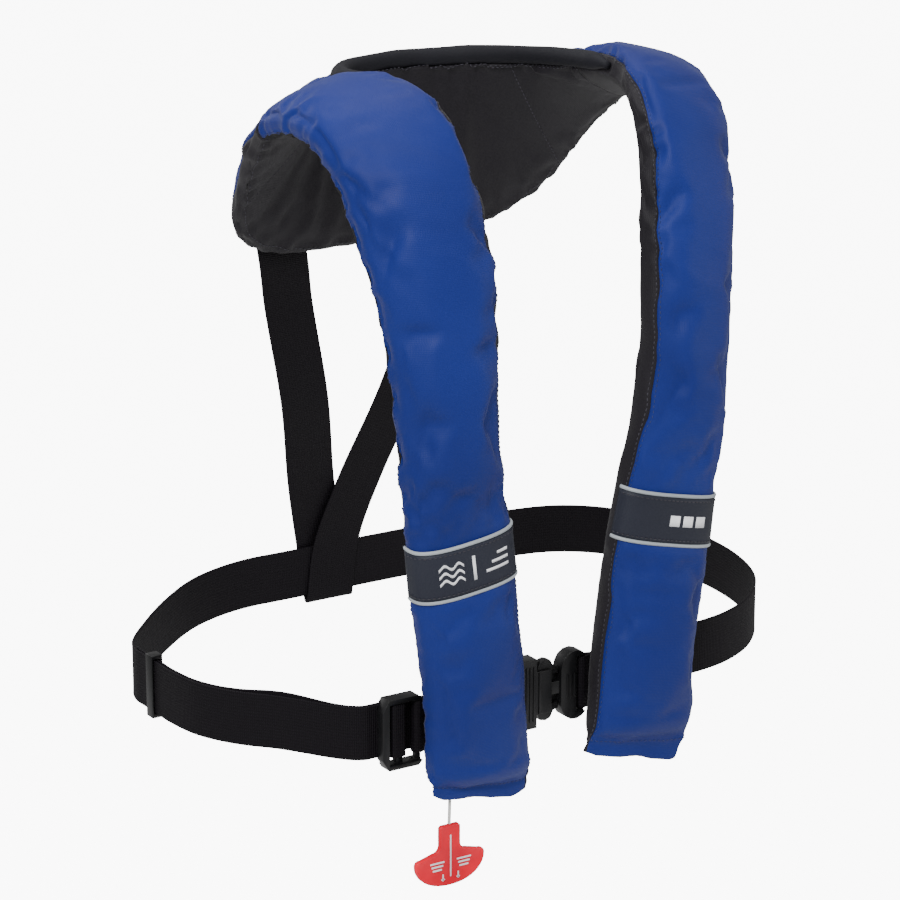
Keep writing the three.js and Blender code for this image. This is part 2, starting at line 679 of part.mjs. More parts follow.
function makeBuckle() {
  const middle = [0, BELT_FRONT, BELT_HEIGHT - BUCKLE_SAG];
  const half = BUCKLE_HEIGHT / 2;
  const mouth = BUCKLE_X - 2;
  const back = SOCKET_BAR[0];
  const slotHalf = WEB_WIDTH / 2 + 1.4;
  const notch = mouth - 12;
  const notchFloor = 15.5;
  const through = BUCKLE_THICK;
  const socketOutline = [
    [back, -half + 4],
    [back + 4, -half],
    [mouth - 1, -half],
    [mouth, -half + 1],
    [mouth, half - 1],
    [mouth - 1, half],
    [back + 4, half],
    [back, half - 4],
  ];
  const socket = cut(
    plate(socketOutline, BUCKLE_THICK),
    box(back + 4, SOCKET_BAR[1] + socketSlot, -through, through, -slotHalf, slotHalf),
    box(back - 1, back + 5, -through, -BAR_HALF_DEPTH, -slotHalf, slotHalf),
    box(back - 1, back + 5, BAR_HALF_DEPTH, through, -slotHalf, slotHalf),
    box(SOCKET_BAR[1] + socketSlot + 3, mouth + 1, -4.2, 4.2, -20, 20),
    box(notch, mouth + 1, -through, through, notchFloor, half + 1),
    box(notch, mouth + 1, -through, through, -half - 1, -notchFloor),
  );
  add("buckle_socket", socket, BLACK_PLASTIC, middle);

  const base = BUCKLE_X + 6;
  const end = PLUG_BAR[1];
  const ear = [
    [base, 12.5],
    [base + 1, 17],
    [base + 3.5, 21.5],
    [base + 8, half - 0.6],
    [base + 13, half],
    [base + 17.5, half - 1.6],
    [end, half - 5],
  ];
  const plugOutline = [...ear.map(([x, z]) => [x, -z]), ...ear.slice().reverse()];
  const guide = box(BUCKLE_X - 26, base + 1, -3, 3, -4.5, 4.5);
  const plug = combine(
    plate(plugOutline, BUCKLE_THICK - 1),
    [guide],
    [
      box(PLUG_BAR[0] - socketSlot, PLUG_BAR[0], -through, through, -slotHalf, slotHalf),
      box(PLUG_BAR[0] - 1, end + 1, -through, -BAR_HALF_DEPTH, -slotHalf, slotHalf),
      box(PLUG_BAR[0] - 1, end + 1, BAR_HALF_DEPTH, through, -slotHalf, slotHalf),
    ],
  );
  add("buckle_plug", plug, BLACK_PLASTIC, middle);

  const root = PRONG_ROOT[0];
  const arm = [
    [root + 0.3, 10.5],
    [root + 0.3, 15],
    [BUCKLE_X + 1.5, 16],
    [BUCKLE_X - 1, 21],
    [BUCKLE_X - 5, 22.4],
    [BUCKLE_X - 9.5, 21.4],
    [BUCKLE_X - 12, 15],
    [BUCKLE_X - 22, 16.6],
    [BUCKLE_X - 26, 15.6],
    [BUCKLE_X - 26, 12.4],
    [BUCKLE_X - 12, 10.8],
  ];
  const upper = plate(arm.slice().reverse(), 6);
  const lower = plate(arm.map(([x, z]) => [x, -z]), 6);
  add("prong_upper", upper, BLACK_PLASTIC, middle);
  add("prong_lower", lower, BLACK_PLASTIC, middle);
}

function makeAdjuster() {
  const half = ADJUSTER_HEIGHT / 2;
  const slotHalf = WEB_WIDTH / 2 + WEB_CLEAR + ADJUSTER_DROP;
  const deep = ADJUSTER_THICK;
  const left = OUTER_BAR[0];
  const right = INNER_BAR[1];
  const outline = [
    [left, -half + 8],
    [left + 5, -half],
    [right - 3, -half],
    [right, -half + 3],
    [right, half - 3],
    [right - 3, half],
    [left + 5, half],
    [left, half - 8],
  ];
  const window = (x0, x1, y0, y1) => box(x0, x1, y0, y1, -slotHalf, slotHalf);
  const frame = cut(
    plate(outline, ADJUSTER_THICK),
    window(OUTER_BAR[1], MIDDLE_BAR[0], -deep, deep),
    window(MIDDLE_BAR[1], INNER_BAR[0], -deep, deep),
    window(left - 1, INNER_BAR[1] + 1, BAR_HALF_DEPTH, deep),
    window(MIDDLE_BAR[0] - 1, right + 1, -deep, -BAR_HALF_DEPTH),
  );
  add("belt_adjuster", frame, BLACK_PLASTIC, [
    ADJUSTER_X,
    BELT_FRONT,
    BELT_HEIGHT - ADJUSTER_SAG - ADJUSTER_DROP,
  ]);
}

// ---------------------------------------------------------------- inflator, in the right lobe

// The cylinder lies close behind the front cover, and the inflator hangs in line with it.
const INFLATOR_FORWARD = HALF_DEPTH - CLOTH - CYLINDER_DIAMETER / 2 - CYLINDER_CLEAR;
const INFLATOR_LOBE = frameAt(stationAtHeight(INFLATOR_HEIGHT)).middle;
const INFLATOR_X = INFLATOR_LOBE.x + INFLATOR_ASIDE;
const INFLATOR_Y = INFLATOR_LOBE.y - INFLATOR_FORWARD;
const BODY_HALF_DEPTH = 6.8;
const BODY_TOP = INFLATOR_HEIGHT + 19;
const BODY_BOTTOM = INFLATOR_HEIGHT - 19;
const NECK_RADIUS = 4.4;
const NECK_DEPTH = 11;
const PIVOT_X = INFLATOR_X - 8;
const PIVOT_HEIGHT = INFLATOR_HEIGHT - 9;
const PIN_RADIUS = 1.5;
const RUNNING = 0.1; // clearance of a turning fit
const STEM = [INFLATOR_X + 8.6, INFLATOR_HEIGHT - 4];
const STEM_RADIUS = 3.4;
const FIRING_BORE = 3.2;

function makeInflatorBody() {
  const left = PIVOT_X - 8;
  const right = STEM[0] + 7;
  const outline = [
    [left, BODY_BOTTOM + 2],
    [left + 2, BODY_BOTTOM],
    [right - 3, BODY_BOTTOM],
    [right, BODY_BOTTOM + 3],
    [right, BODY_TOP - 6],
    [right - 6, BODY_TOP],
    [INFLATOR_X - 9, BODY_TOP],
    [left, BODY_TOP - 12],
  ];
  const slotHalf = 2.5;
  const body = combine(
    plate(outline, 2 * BODY_HALF_DEPTH),
    [round(6, 4, "z", [INFLATOR_X, 0, BODY_BOTTOM - 1.5])],
    [
      round(NECK_RADIUS + RUNNING, 2 * NECK_DEPTH, "z", [INFLATOR_X, 0, BODY_TOP]),
      round(FIRING_BORE, 60, "z", [INFLATOR_X, 0, INFLATOR_HEIGHT]),
      round(STEM_RADIUS + RUNNING, 40, "y", [STEM[0], 0, STEM[1]]),
      round(PIN_RADIUS + RUNNING, 40, "y", [PIVOT_X, 0, PIVOT_HEIGHT], 16),
      box(left - 1, PIVOT_X + 4.6, -slotHalf, slotHalf, BODY_BOTTOM - 1, PIVOT_HEIGHT + 5),
    ],
  );
  add("inflator_body", body, BLACK_PLASTIC, [0, INFLATOR_Y, 0]);
}

function makeLever() {
  const width = 3;
  const hub = 3.8;
  const tip = PIVOT_X - LEVER_REACH;
  const arm = box(tip - 2.5, PIVOT_X, -2, 2, PIVOT_HEIGHT - width / 2, PIVOT_HEIGHT + width / 2);
  const lever = combine(
    arm,
    [round(hub, 4, "y", [PIVOT_X, 0, PIVOT_HEIGHT])],
    [
      round(PIN_RADIUS + RUNNING, 8, "y", [PIVOT_X, 0, PIVOT_HEIGHT], 16),
      round(0.9, 8, "z", [tip, 0, PIVOT_HEIGHT], 8),
    ],
  );
  add("manual_lever", lever, RED_PLASTIC, [0, INFLATOR_Y, 0]);
  const pin = round(PIN_RADIUS, 2 * BODY_HALF_DEPTH, "y", [PIVOT_X, INFLATOR_Y, PIVOT_HEIGHT], 16);
  add("lever_pin", pin, STEEL);
}

function makeCylinder() {
  const radius = CYLINDER_DIAMETER / 2;
  const seat = BODY_TOP + GAP;
  const neckEnd = BODY_TOP - NECK_DEPTH + 2;
  const top = seat + CYLINDER_LENGTH;
  const profile = [
    [0, neckEnd],
    [NECK_RADIUS, neckEnd],
    [NECK_RADIUS, seat + 3],
    [radius * 0.62, seat + 6],
    [radius * 0.92, seat + 12],
    [radius, seat + 17],
    [radius, top - 7],
    [radius * 0.88, top - 3],
    [radius * 0.5, top],
    [0, top],
  ];
  add("gas_cylinder", turned(profile), STEEL, [INFLATOR_X, INFLATOR_Y, 0]);
  const washer = [
    [2, neckEnd - 1.4],
    [NECK_RADIUS - 0.3, neckEnd - 1.4],
    [NECK_RADIUS - 0.3, neckEnd - GAP],
    [2, neckEnd - GAP],
  ];
  add("neck_washer", turned(washer), RUBBER, [INFLATOR_X, INFLATOR_Y, 0]);
}

const PIN_FOOT = INFLATOR_HEIGHT - 8;
const PIN_COLLAR = INFLATOR_HEIGHT - 3;
const PIN_TIP = INFLATOR_HEIGHT + 4.5;

function makeFiringPin() {
  const profile = [
    [0, PIN_FOOT],
    [1.6, PIN_FOOT],
    [1.6, PIN_COLLAR - 1.5],
    [2.9, PIN_COLLAR - 1.5],
    [2.9, PIN_COLLAR],
    [1.3, PIN_COLLAR],
    [1.3, PIN_TIP - 2],
    [0, PIN_TIP],
  ];
  add("firing_pin", turned(profile, 16), STEEL, [INFLATOR_X, INFLATOR_Y, 0]);

  const turns = 4;
  const wire = 0.35;
  const bottom = PIN_COLLAR + wire + GAP / 2;
  const rise = BODY_TOP - NECK_DEPTH - 0.6 - wire - bottom;
  const coil = [];
  for (let i = 0; i <= turns * 9; i++) {
    const angle = (i / 9) * 2 * Math.PI;
    const height = bottom + (rise * i) / (turns * 9);
    coil.push(new THREE.Vector3(2.3 * Math.cos(angle), 2.3 * Math.sin(angle), height));
  }
  const section = new THREE.Shape(sectionArc(wire, wire, 0, 360, 5).slice(0, -1));
  const spring = new THREE.ExtrudeGeometry(section, {
    extrudePath: new THREE.CatmullRomCurve3(coil),
    steps: turns * 9,
    bevelEnabled: false,
  });
  add("firing_spring", spring, STEEL, [INFLATOR_X, INFLATOR_Y, 0]);
}

function makeManifold() {
  const bodyBack = INFLATOR_Y + BODY_HALF_DEPTH;
  const bodyFront = INFLATOR_Y - BODY_HALF_DEPTH;
  const flange = round(11, 1.2, "y", [STEM[0] - 1, bodyBack + GAP + 0.7, STEM[1]]);
  const length = 2 * BODY_HALF_DEPTH + 1.5;
  const stem = round(STEM_RADIUS, length, "y", [STEM[0], bodyFront - 0.5 + length / 2, STEM[1]]);
  add("bladder_stem", combine(flange, [stem], []), BLACK_PLASTIC);
  const nut = cut(
    round(5, 1.6, "y", [STEM[0], bodyFront - GAP - 0.8, STEM[1]], 6),
    round(STEM_RADIUS + RUNNING, 6, "y", [STEM[0], bodyFront - 1, STEM[1]]),
  );
  add("stem_nut", nut, BLACK_PLASTIC);
}

function makeBobbin() {
  const top = BODY_BOTTOM - GAP;
  const cap = [
    [6 + RUNNING * 3, top],
    [7.8, top],
    [7.8, top - 15],
    [6.5, top - 17],
    [0, top - 17],
    [0, top - 15.4],
    [6.3, top - 15.4],
  ];
  add("bobbin_cap", turned(cap), BLACK_PLASTIC, [INFLATOR_X, INFLATOR_Y, 0]);
  const bobbin = [
    [1.5, top - 15],
    [5.4, top - 15],
    [5.4, top - 4],
    [1.5, top - 4],
  ];
  add("soluble_bobbin", turned(bobbin), WHITE_PLASTIC, [INFLATOR_X, INFLATOR_Y, 0]);
}

// ---------------------------------------------------------------- lanyard and pull tab

const LANYARD_X = PIVOT_X - LEVER_REACH;
const LANYARD_Y = INFLATOR_Y + 1.6;
const LANYARD_TOP = PIVOT_HEIGHT - 2.4;
// The lanyard's middle line: x, y, z.
const LANYARD_ROUTE = [
  [LANYARD_X, LANYARD_Y, LANYARD_TOP],
  [LANYARD_X, LANYARD_Y, TAB_TOP + 45],
  [LANYARD_X + 0.2, LANYARD_Y + 0.2, TAB_TOP + 35],
  [LANYARD_X + 0.5, LANYARD_Y + 0.4, TAB_TOP + 25],
  [LANYARD_X + 0.5, LANYARD_Y + 0.6, TAB_TOP + 15],
  [LANYARD_X + 0.2, LANYARD_Y + 0.6, TAB_TOP + 5],
  [LANYARD_X, LANYARD_Y + 0.6, TAB_TOP + GAP],
];

function makeLanyard() {
  const route = new THREE.CatmullRomCurve3(LANYARD_ROUTE.map((p) => new THREE.Vector3(...p)));
  const radius = LANYARD_DIAMETER / 2;
  const circle = Array.from({ length: 8 }, (_, i) => {
    const angle = (i * Math.PI) / 4;
    return new THREE.Vector2(radius * Math.cos(angle), radius * Math.sin(angle));
  });
  const cord = new THREE.ExtrudeGeometry(new THREE.Shape(circle), {
    extrudePath: route,
    steps: 12,
    bevelEnabled: false,
  });
  add("lanyard", cord, WHITE_CORD);
}

function makePullTab() {
  const stem = 8;
  const half = TAB_WIDTH / 2;
  const right = [
    [stem, 0],
    [stem, -16],
    [stem + 3, -21],
    [half - 6, -23],
    [half - 1.5, -21],
    [half, -25],
    [half - 2, -31],
    [half - 9, -39],
    [half - 18, -TAB_HEIGHT + 1.5],
    [3, -TAB_HEIGHT],
  ];
  const outline = [...right, ...right.slice().reverse().map(([x, z]) => [-x, z])];
  const blank = plate(outline.reverse(), TAB_THICK);
  const rib = box(-1.6, 1.6, -TAB_THICK / 2 - 1, TAB_THICK / 2 + 1, -TAB_HEIGHT + 6, -2);
  add("pull_tab", combine(blank, [rib], []), RED_PLASTIC, [LANYARD_X, LANYARD_Y + 0.6, TAB_TOP]);
}

// ---------------------------------------------------------------- oral tube, in the left lobe

const ORAL_MIDDLE = frameAt(LAST_STATION - stationAtHeight(ORAL_BASE + ORAL_TUBE_LENGTH * 0.75)).middle;
const ORAL_X = ORAL_MIDDLE.x;
const ORAL_Y = ORAL_MIDDLE.y - 2;
const CAP_TRAVEL = 14; // pulled up this far, the cap is off the valve
const CAP_RADIUS = ORAL_TUBE_DIAMETER / 2 + 2;
const ORAL_PLANE = ORAL_Y + CAP_RADIUS + 1; // the bladder lies behind this

function makeOralTube() {
  const radius = ORAL_TUBE_DIAMETER / 2;
  const bore = radius - 1.5;
  const foot = ORAL_BASE + radius + 1;
  const top = foot + ORAL_TUBE_LENGTH;
  const axis = [ORAL_X, ORAL_Y, 0];
  const tube = [
    [bore, foot],
    [radius, foot],
    [radius, top],
    [bore, top],
  ];
  add("oral_tube", turned(tube), BLACK_PLASTIC, axis);

  const elbowBack = ORAL_PLANE - 2 * GAP;
  const elbowLength = elbowBack - ORAL_Y + radius;
  const elbow = combine(
    round(radius + 0.7, elbowLength, "y", [ORAL_X, elbowBack - elbowLength / 2, ORAL_BASE]),
    [round(13, 1.2, "y", [ORAL_X, elbowBack - 0.6, ORAL_BASE])],
    [],
  );
  add("oral_flange", elbow, BLACK_PLASTIC);

  const valve = [
    [2.4, top - 9],
    [bore - RUNNING, top - 9],
    [bore - RUNNING, top + GAP],
    [radius, top + GAP],
    [radius, top + 11],
    [3.6, top + 11],
    [3.6, top + 1],
    [2.4, top - 1],
  ];
  add("oral_valve", turned(valve), BLACK_PLASTIC, axis);
  const poppet = [
    [0, top - 13],
    [3.4, top - 13],
    [3.4, top - 9 - GAP],
    [1.6, top - 9 - GAP],
    [1.6, top + 3],
    [3.2, top + 3],
    [3.2, top + 9],
    [0, top + 9],
  ];
  add("oral_poppet", turned(poppet, 16), WHITE_PLASTIC, axis);
  const cap = [
    [radius + 0.4, top - 3],
    [CAP_RADIUS, top - 3],
    [CAP_RADIUS, top + 12],
    [radius, top + 14],
    [0, top + 14],
    [0, top + 11 + GAP],
    [radius + 0.4, top + 11 + GAP],
  ];
  add("oral_cap", turned(cap), RED_PLASTIC, axis);
}

// ---------------------------------------------------------------- assembly

// Where the bladder makes room: the stations, and the plane that it lies behind.
function hardwarePockets() {
  const cylinderTop = BODY_TOP + GAP + CYLINDER_LENGTH;
  const inflatorPlane = INFLATOR_Y + CYLINDER_DIAMETER / 2 + 1;
  const oralTop = ORAL_BASE + ORAL_TUBE_LENGTH + 25 + CAP_TRAVEL;
  return [
    { from: 0, to: stationAtHeight(cylinderTop) + KNOT, plane: inflatorPlane },
    {
      from: LAST_STATION - stationAtHeight(oralTop) - KNOT,
      to: LAST_STATION - stationAtHeight(ORAL_BASE - 14) + KNOT,
      plane: ORAL_PLANE,
    },
  ];
}

// Outermost face of the back cover near its hem, where the back strap is sewn on.
const HEM_FACE = Math.max(
  ...[-1.5, -1, -0.5].flatMap((s) =>
    sectionArc(HALF_SECTION, HALF_DEPTH, 0, 80, 16).map((p) => onStrip(BACK_MIDDLE + s, p.x, p.y).y),
  ),
);

makeCovers();
makeBladder();
makeNeckRoll();
makeBands();
makeBelt();
makeSewnWebs();
makeSleevesAndKeeper();
makeBackStrap();
makeBuckle();
makeAdjuster();
makeInflatorBody();
makeLever();
makeCylinder();
makeFiringPin();
makeManifold();
makeBobbin();
makeLanyard();
makePullTab();
makeOralTube();

export default jacket;
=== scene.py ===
"""Inflatable life jacket: the finished look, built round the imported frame. Metres, +Z up."""

from math import ceil, cos, pi, radians, sin

import bmesh
import bpy
import numpy as np
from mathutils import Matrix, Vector, noise


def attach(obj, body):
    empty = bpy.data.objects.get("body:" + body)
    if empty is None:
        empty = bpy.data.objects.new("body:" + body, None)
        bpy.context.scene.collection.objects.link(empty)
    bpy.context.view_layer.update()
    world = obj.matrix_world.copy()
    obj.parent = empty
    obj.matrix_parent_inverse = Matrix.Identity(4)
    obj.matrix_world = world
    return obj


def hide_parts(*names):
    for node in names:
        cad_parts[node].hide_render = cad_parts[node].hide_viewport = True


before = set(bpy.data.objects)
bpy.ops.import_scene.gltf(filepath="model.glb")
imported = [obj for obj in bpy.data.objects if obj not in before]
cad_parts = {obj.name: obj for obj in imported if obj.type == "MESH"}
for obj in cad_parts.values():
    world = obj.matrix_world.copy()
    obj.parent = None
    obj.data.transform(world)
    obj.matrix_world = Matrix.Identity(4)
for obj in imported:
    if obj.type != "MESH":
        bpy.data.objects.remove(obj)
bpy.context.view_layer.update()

bl_info = {
    "name": "Inflatable life jacket",
    "version": (1, 0, 0),
    "blender": (4, 5, 0),
    "location": "View3D > Sidebar > Life jacket",
    "description": "Covers, webbing, buckle and pull tab of an inflatable life jacket",
    "category": "Object",
}

MM = 0.001

# ------------------------------------------------------------------ the shoulder strip

# The jacket is one horseshoe strip. At each station: its neck edge, its arm edge and how plump
# it is there, in millimetres. The wearer's right half, from the bottom of the front lobe to the
# middle of the back.
RIGHT_HALF = [
    ((-29, -137, -453), (-104, -141, -439), 0.5),
    ((-26, -137, -425), (-105, -142, -418), 0.95),
    ((-30, -137, -371), (-107, -143, -372), 1),
    ((-37, -138.5, -310), (-114, -142, -317), 1),
    ((-46, -142.5, -250), (-120, -142, -259), 1),
    ((-55, -151, -185), (-127, -142, -193), 0.97),
    ((-58, -152, -120), (-134, -137, -125), 0.92),
    ((-60, -147, -65), (-144, -125, -68), 0.88),
    ((-67, -133, -18), (-152, -104, -22), 0.85),
    ((-74, -108, 15), (-154, -75, 1), 0.82),
    ((-80, -72, 25), (-153, -40, 3), 0.75),
    ((-84, -28, 22), (-148, 0, -9), 0.66),
    ((-76, 20, 16), (-138, 44, -50), 0.58),
    ((-54, 52, 13), (-119, 83, -98), 0.55),
    ((-27, 67, 11), (-74, 97, -119), 0.55),
    ((0, 71, 11), (0, 99, -121), 0.55),
]
BACK_MIDDLE = len(RIGHT_HALF) - 1
LAST = 2 * BACK_MIDDLE
SHOULDER_SEAM = 11
LEFT_LIFT = 18  # the left lobe's inner corner hangs this much higher
LEFT_LIFT_STATIONS = 7
LEFT_CORNER = (11, 0, -13)  # and its outer corner, nearer the middle and lower
LEFT_INNER_CORNER = (10, 0, 1)
CORNER_ROUNDING = (0.16, 0.05)  # stations, of the right and left lobes' bottom corners

HALF_SECTION = 40 * MM
HALF_DEPTH = 17 * MM
SECTION_POWER = 2.6
FRONT_FROM, FRONT_TO = -18, 198  # degrees round the section that the front cloth covers
CLOSURE_FROM = -42

BAND_STATIONS = (3.38, 3.93)
HEM = 0.4  # stations from the bottom of a lobe to its hem stitch
HEM_THICKNESS = 0.2  # share of the lobe's depth
HEM_FORWARD = 4 * MM  # the flat hem lies this far in front of the lobe's middle
HEM_WAVE = 0.05  # stations
FULL_DEPTH = 0.9  # stations from the bottom to where a lobe has its full depth
ROUNDED_FROM = 0.55  # share of the half width where a bottom corner's rounding starts
GIRTH_PER_DEGREE = 0.55 * MM  # way round the section for each degree, on average


def rail(edge):
    right = [np.array(station[edge], float) for station in RIGHT_HALF]
    left = []
    for i, point in enumerate(right[:-1]):
        lift = LEFT_LIFT * max(0, 1 - i / LEFT_LIFT_STATIONS) if edge == 0 else 0
        corner = (LEFT_INNER_CORNER, LEFT_CORNER)[edge] if i == 0 else (0, 0, 0)
        left.append(np.array([-point[0], point[1], point[2] + lift]) + np.array([-1, 1, 1]) * corner)
    return np.array(right + left[::-1]) * MM


NECK_RAIL = rail(0)
ARM_RAIL = rail(1)
PLUMP = np.array([s[2] for s in RIGHT_HALF] + [s[2] for s in RIGHT_HALF[:-1]][::-1], float)


def on_rail(points, stations):
    """Smooth curve through the points, one unit of station from each to the next."""
    s = np.clip(np.asarray(stations, float), 0, LAST)
    i = np.minimum(s.astype(int), LAST - 1)
    w = (s - i)[..., None]
    before = np.where((i > 0)[..., None], points[np.maximum(i - 1, 0)], 2 * points[0] - points[1])
    after = np.where(
        (i < LAST - 1)[..., None],
        points[np.minimum(i + 2, LAST)],
        2 * points[LAST] - points[LAST - 1],
    )
    p1, p2 = points[i], points[i + 1]
    t1, t2 = (p2 - before) / 2, (after - p1) / 2
    return (
        p1
        + t1 * w
        + (3 * (p2 - p1) - 2 * t1 - t2) * w**2
        + (2 * (p1 - p2) + t1 + t2) * w**3
    )


def strip_frame(stations):
    """Middle, across and outward directions and half width of the strip at the stations."""
    s = np.asarray(stations, float)
    step = 0.05
    neck, arm = on_rail(NECK_RAIL, s), on_rail(ARM_RAIL, s)
    ahead = on_rail(NECK_RAIL, s + step) + on_rail(ARM_RAIL, s + step)
    behind = on_rail(NECK_RAIL, s - step) + on_rail(ARM_RAIL, s - step)
    across = arm - neck
    width = np.linalg.norm(across, axis=-1, keepdims=True)
    across = across / width
    out = np.cross(ahead - behind, across)
    out /= np.linalg.norm(out, axis=-1, keepdims=True)
    return (neck + arm) / 2, across, out, width / 2


def smooth(value, low, high):
    t = np.clip((value - low) / (high - low), 0, 1)
    return t * t * (3 - 2 * t)


def from_bottom(stations):
    """Stations up from the nearer lobe's bottom."""
    s = np.asarray(stations, float)
    return np.minimum(s, LAST - s)


def plump_at(stations):
    s = np.clip(np.asarray(stations, float), 0, LAST)
    full = np.interp(s, np.arange(LAST + 1), PLUMP)
    return full * (HEM_THICKNESS + (1 - HEM_THICKNESS) * sewn_open(s))


def sewn_open(stations):
    """From 0 at the flat hem to 1 where the lobe has its full depth."""
    return smooth(from_bottom(stations), HEM * 0.85, FULL_DEPTH)


def section(degrees, grown=0.0):
    """Share of the half width, and depth, of the section's outline at the angles."""
    a = np.radians(degrees)
    power = 2 / SECTION_POWER
    x = np.sign(np.cos(a)) * np.abs(np.cos(a)) ** power * (HALF_SECTION + grown)
    y = np.sign(np.sin(a)) * np.abs(np.sin(a)) ** power * (HALF_DEPTH + grown)
    return x / HALF_SECTION, y


def on_strip(stations, degrees, grown=0.0):
    """Points on the strip's skin, and the outward direction there."""
    s, a = np.broadcast_arrays(np.asarray(stations, float), np.asarray(degrees, float))
    x, y = section(a, grown)
    corner = np.clip((np.abs(x) - ROUNDED_FROM) / (1 - ROUNDED_FROM), 0, 1) ** 2
    fade = 1 - smooth(from_bottom(s), 0, 1.0)
    wave = HEM_WAVE * np.sin(5.3 * x + 0.9) * (1 - smooth(from_bottom(s), 0, HEM))
    on_right = s < BACK_MIDDLE
    rounding = np.where(on_right, *CORNER_ROUNDING) * corner * fade
    shift = (rounding + wave) * np.where(on_right, 1, -1)
    middle, across, out, half = strip_frame(s + shift)
    middle = middle + out * ((1 - sewn_open(s)) * HEM_FORWARD)[..., None]
    depth = plump_at(s)[..., None]
    point = middle + across * half * x[..., None] + out * y[..., None] * depth
    a = np.radians(a)
    normal = across * (np.cos(a) / half[..., 0])[..., None] + out * (
        np.sin(a) / (HALF_DEPTH * depth[..., 0])
    )[..., None]
    return point, normal / np.linalg.norm(normal, axis=-1, keepdims=True)


def on_side(side, station):
    """A station counted up from the bottom of the right or the left lobe."""
    return station if side == "right" else LAST - station


def arc_length(stations):
    """Distance of each station along the outer face of the strip."""
    fine = np.linspace(0, LAST, LAST * 8 + 1)
    points = on_strip(fine, np.full_like(fine, 90.0))[0]
    steps = np.linalg.norm(np.diff(points, axis=0), axis=1)
    return np.interp(stations, fine, np.concatenate([[0], np.cumsum(steps)]))


# ------------------------------------------------------------------ cloth simulation

SIM_ROWS_PER_STATION = 8
SIM_COLUMNS = 40
SIM_FRAMES = 20
SIM_PRESSURE = 3.5
SIM_GROWTH = 0.045  # the cut cloth is this much larger than the form it is sewn to
SIM_CAP = 7 * MM
SINK = 3 * MM  # deepest hollow of the lobes' cloth
SINK_OVER_HARDWARE = 0.3 * MM
SINK_AT_YOKE = 1 * MM
ABOVE_INFLATOR = (3.2, 4)  # stations between which the deepest hollow changes
BESIDE_ORAL_TUBE = (23, 23.8)
YOKE_BEGINS = (7.5, 9.5)  # counted up from either bottom


def simulate_strip():
    """Outward and sideways billow of the strip's cloth, as a table over station and angle."""
    rows = LAST * SIM_ROWS_PER_STATION + 1
    stations = np.linspace(0, LAST, rows)
    angles = np.arange(SIM_COLUMNS) * 360 / SIM_COLUMNS
    grid_s, grid_a = np.meshgrid(stations, angles, indexing="ij")
    start = on_strip(grid_s, grid_a, grown=-0.8 * MM)[0]

    bm = bmesh.new()
    rings = [[bm.verts.new(p) for p in row] for row in start]
    bm.faces.new(rings[0][::-1])
    bm.faces.new(rings[-1])
    for low, high in zip(rings, rings[1:]):
        for i in range(SIM_COLUMNS):
            j = (i + 1) % SIM_COLUMNS
            bm.faces.new((low[i], low[j], high[j], high[i]))
    bmesh.ops.recalc_face_normals(bm, faces=bm.faces)
    mesh = bpy.data.meshes.new("strip_cloth")
    bm.to_mesh(mesh)
    bm.free()
    cloth = bpy.data.objects.new("strip_cloth", mesh)
    bpy.context.scene.collection.objects.link(cloth)

    up = from_bottom(grid_s)
    turned = (grid_a + 180) % 360 - 180
    on_seam = np.zeros_like(grid_s, bool)
    for seam in (FRONT_FROM, FRONT_TO - 360, CLOSURE_FROM):
        on_seam |= np.abs(turned - seam) < 5
    under_band = (up > BAND_STATIONS[0] - 0.1) & (up < BAND_STATIONS[1] + 0.1)
    lining_side = (turned < CLOSURE_FROM) & (turned > -160)
    pinned = on_seam | under_band | (up < HEM + 0.05) | (lining_side & (up < 11))
    pinned |= np.abs(grid_s % 1) + 99 * (np.abs(up - SHOULDER_SEAM) > 0.06) < 0.1
    group = cloth.vertex_groups.new(name="sewn")
    group.add([int(i) for i in np.flatnonzero(pinned.ravel())], 1.0, "REPLACE")

    cloth_modifier = cloth.modifiers.new("cloth", "CLOTH")
    settings = cloth_modifier.settings
    settings.quality = 5
    settings.mass = 0.15
    settings.tension_stiffness = settings.compression_stiffness = 18
    settings.shear_stiffness = 6
    settings.bending_stiffness = 0.15
    settings.use_pressure = True
    settings.uniform_pressure_force = SIM_PRESSURE
    settings.shrink_min = -SIM_GROWTH
    settings.vertex_group_mass = "sewn"
    settings.effector_weights.gravity = 0
    cloth_modifier.collision_settings.use_collision = False
    cloth_modifier.point_cache.frame_end = SIM_FRAMES

    scene = bpy.context.scene
    for number in range(1, SIM_FRAMES + 1):
        scene.frame_set(number)
        graph = bpy.context.evaluated_depsgraph_get()
        moved = cloth.evaluated_get(graph)
    result = np.empty(len(mesh.vertices) * 3)
    moved.data.vertices.foreach_get("co", result)
    scene.frame_set(1)
    bpy.data.objects.remove(cloth)
    bpy.data.meshes.remove(mesh)

    billow = result.reshape(start.shape) - start
    length = np.linalg.norm(billow, axis=-1, keepdims=True)
    billow *= np.minimum(1, SIM_CAP / np.maximum(length, 1e-9))
    outward = on_strip(grid_s, grid_a)[1]
    sunk = np.sum(billow * outward, axis=-1, keepdims=True)
    over_inflator = 1 - smooth(grid_s, *ABOVE_INFLATOR)
    over_hardware = np.maximum(over_inflator, smooth(grid_s, *BESIDE_ORAL_TUBE))[..., None]
    at_yoke = smooth(up, *YOKE_BEGINS)[..., None]
    deepest = SINK + (SINK_OVER_HARDWARE - SINK) * over_hardware + (SINK_AT_YOKE - SINK) * at_yoke
    billow += outward * np.maximum(0, -deepest - sunk)
    return billow * (0.4 + 0.6 * smooth(up, HEM, 2.2))[..., None]


BILLOW = None  # the table that simulate_strip gives, filled before the first cloth piece


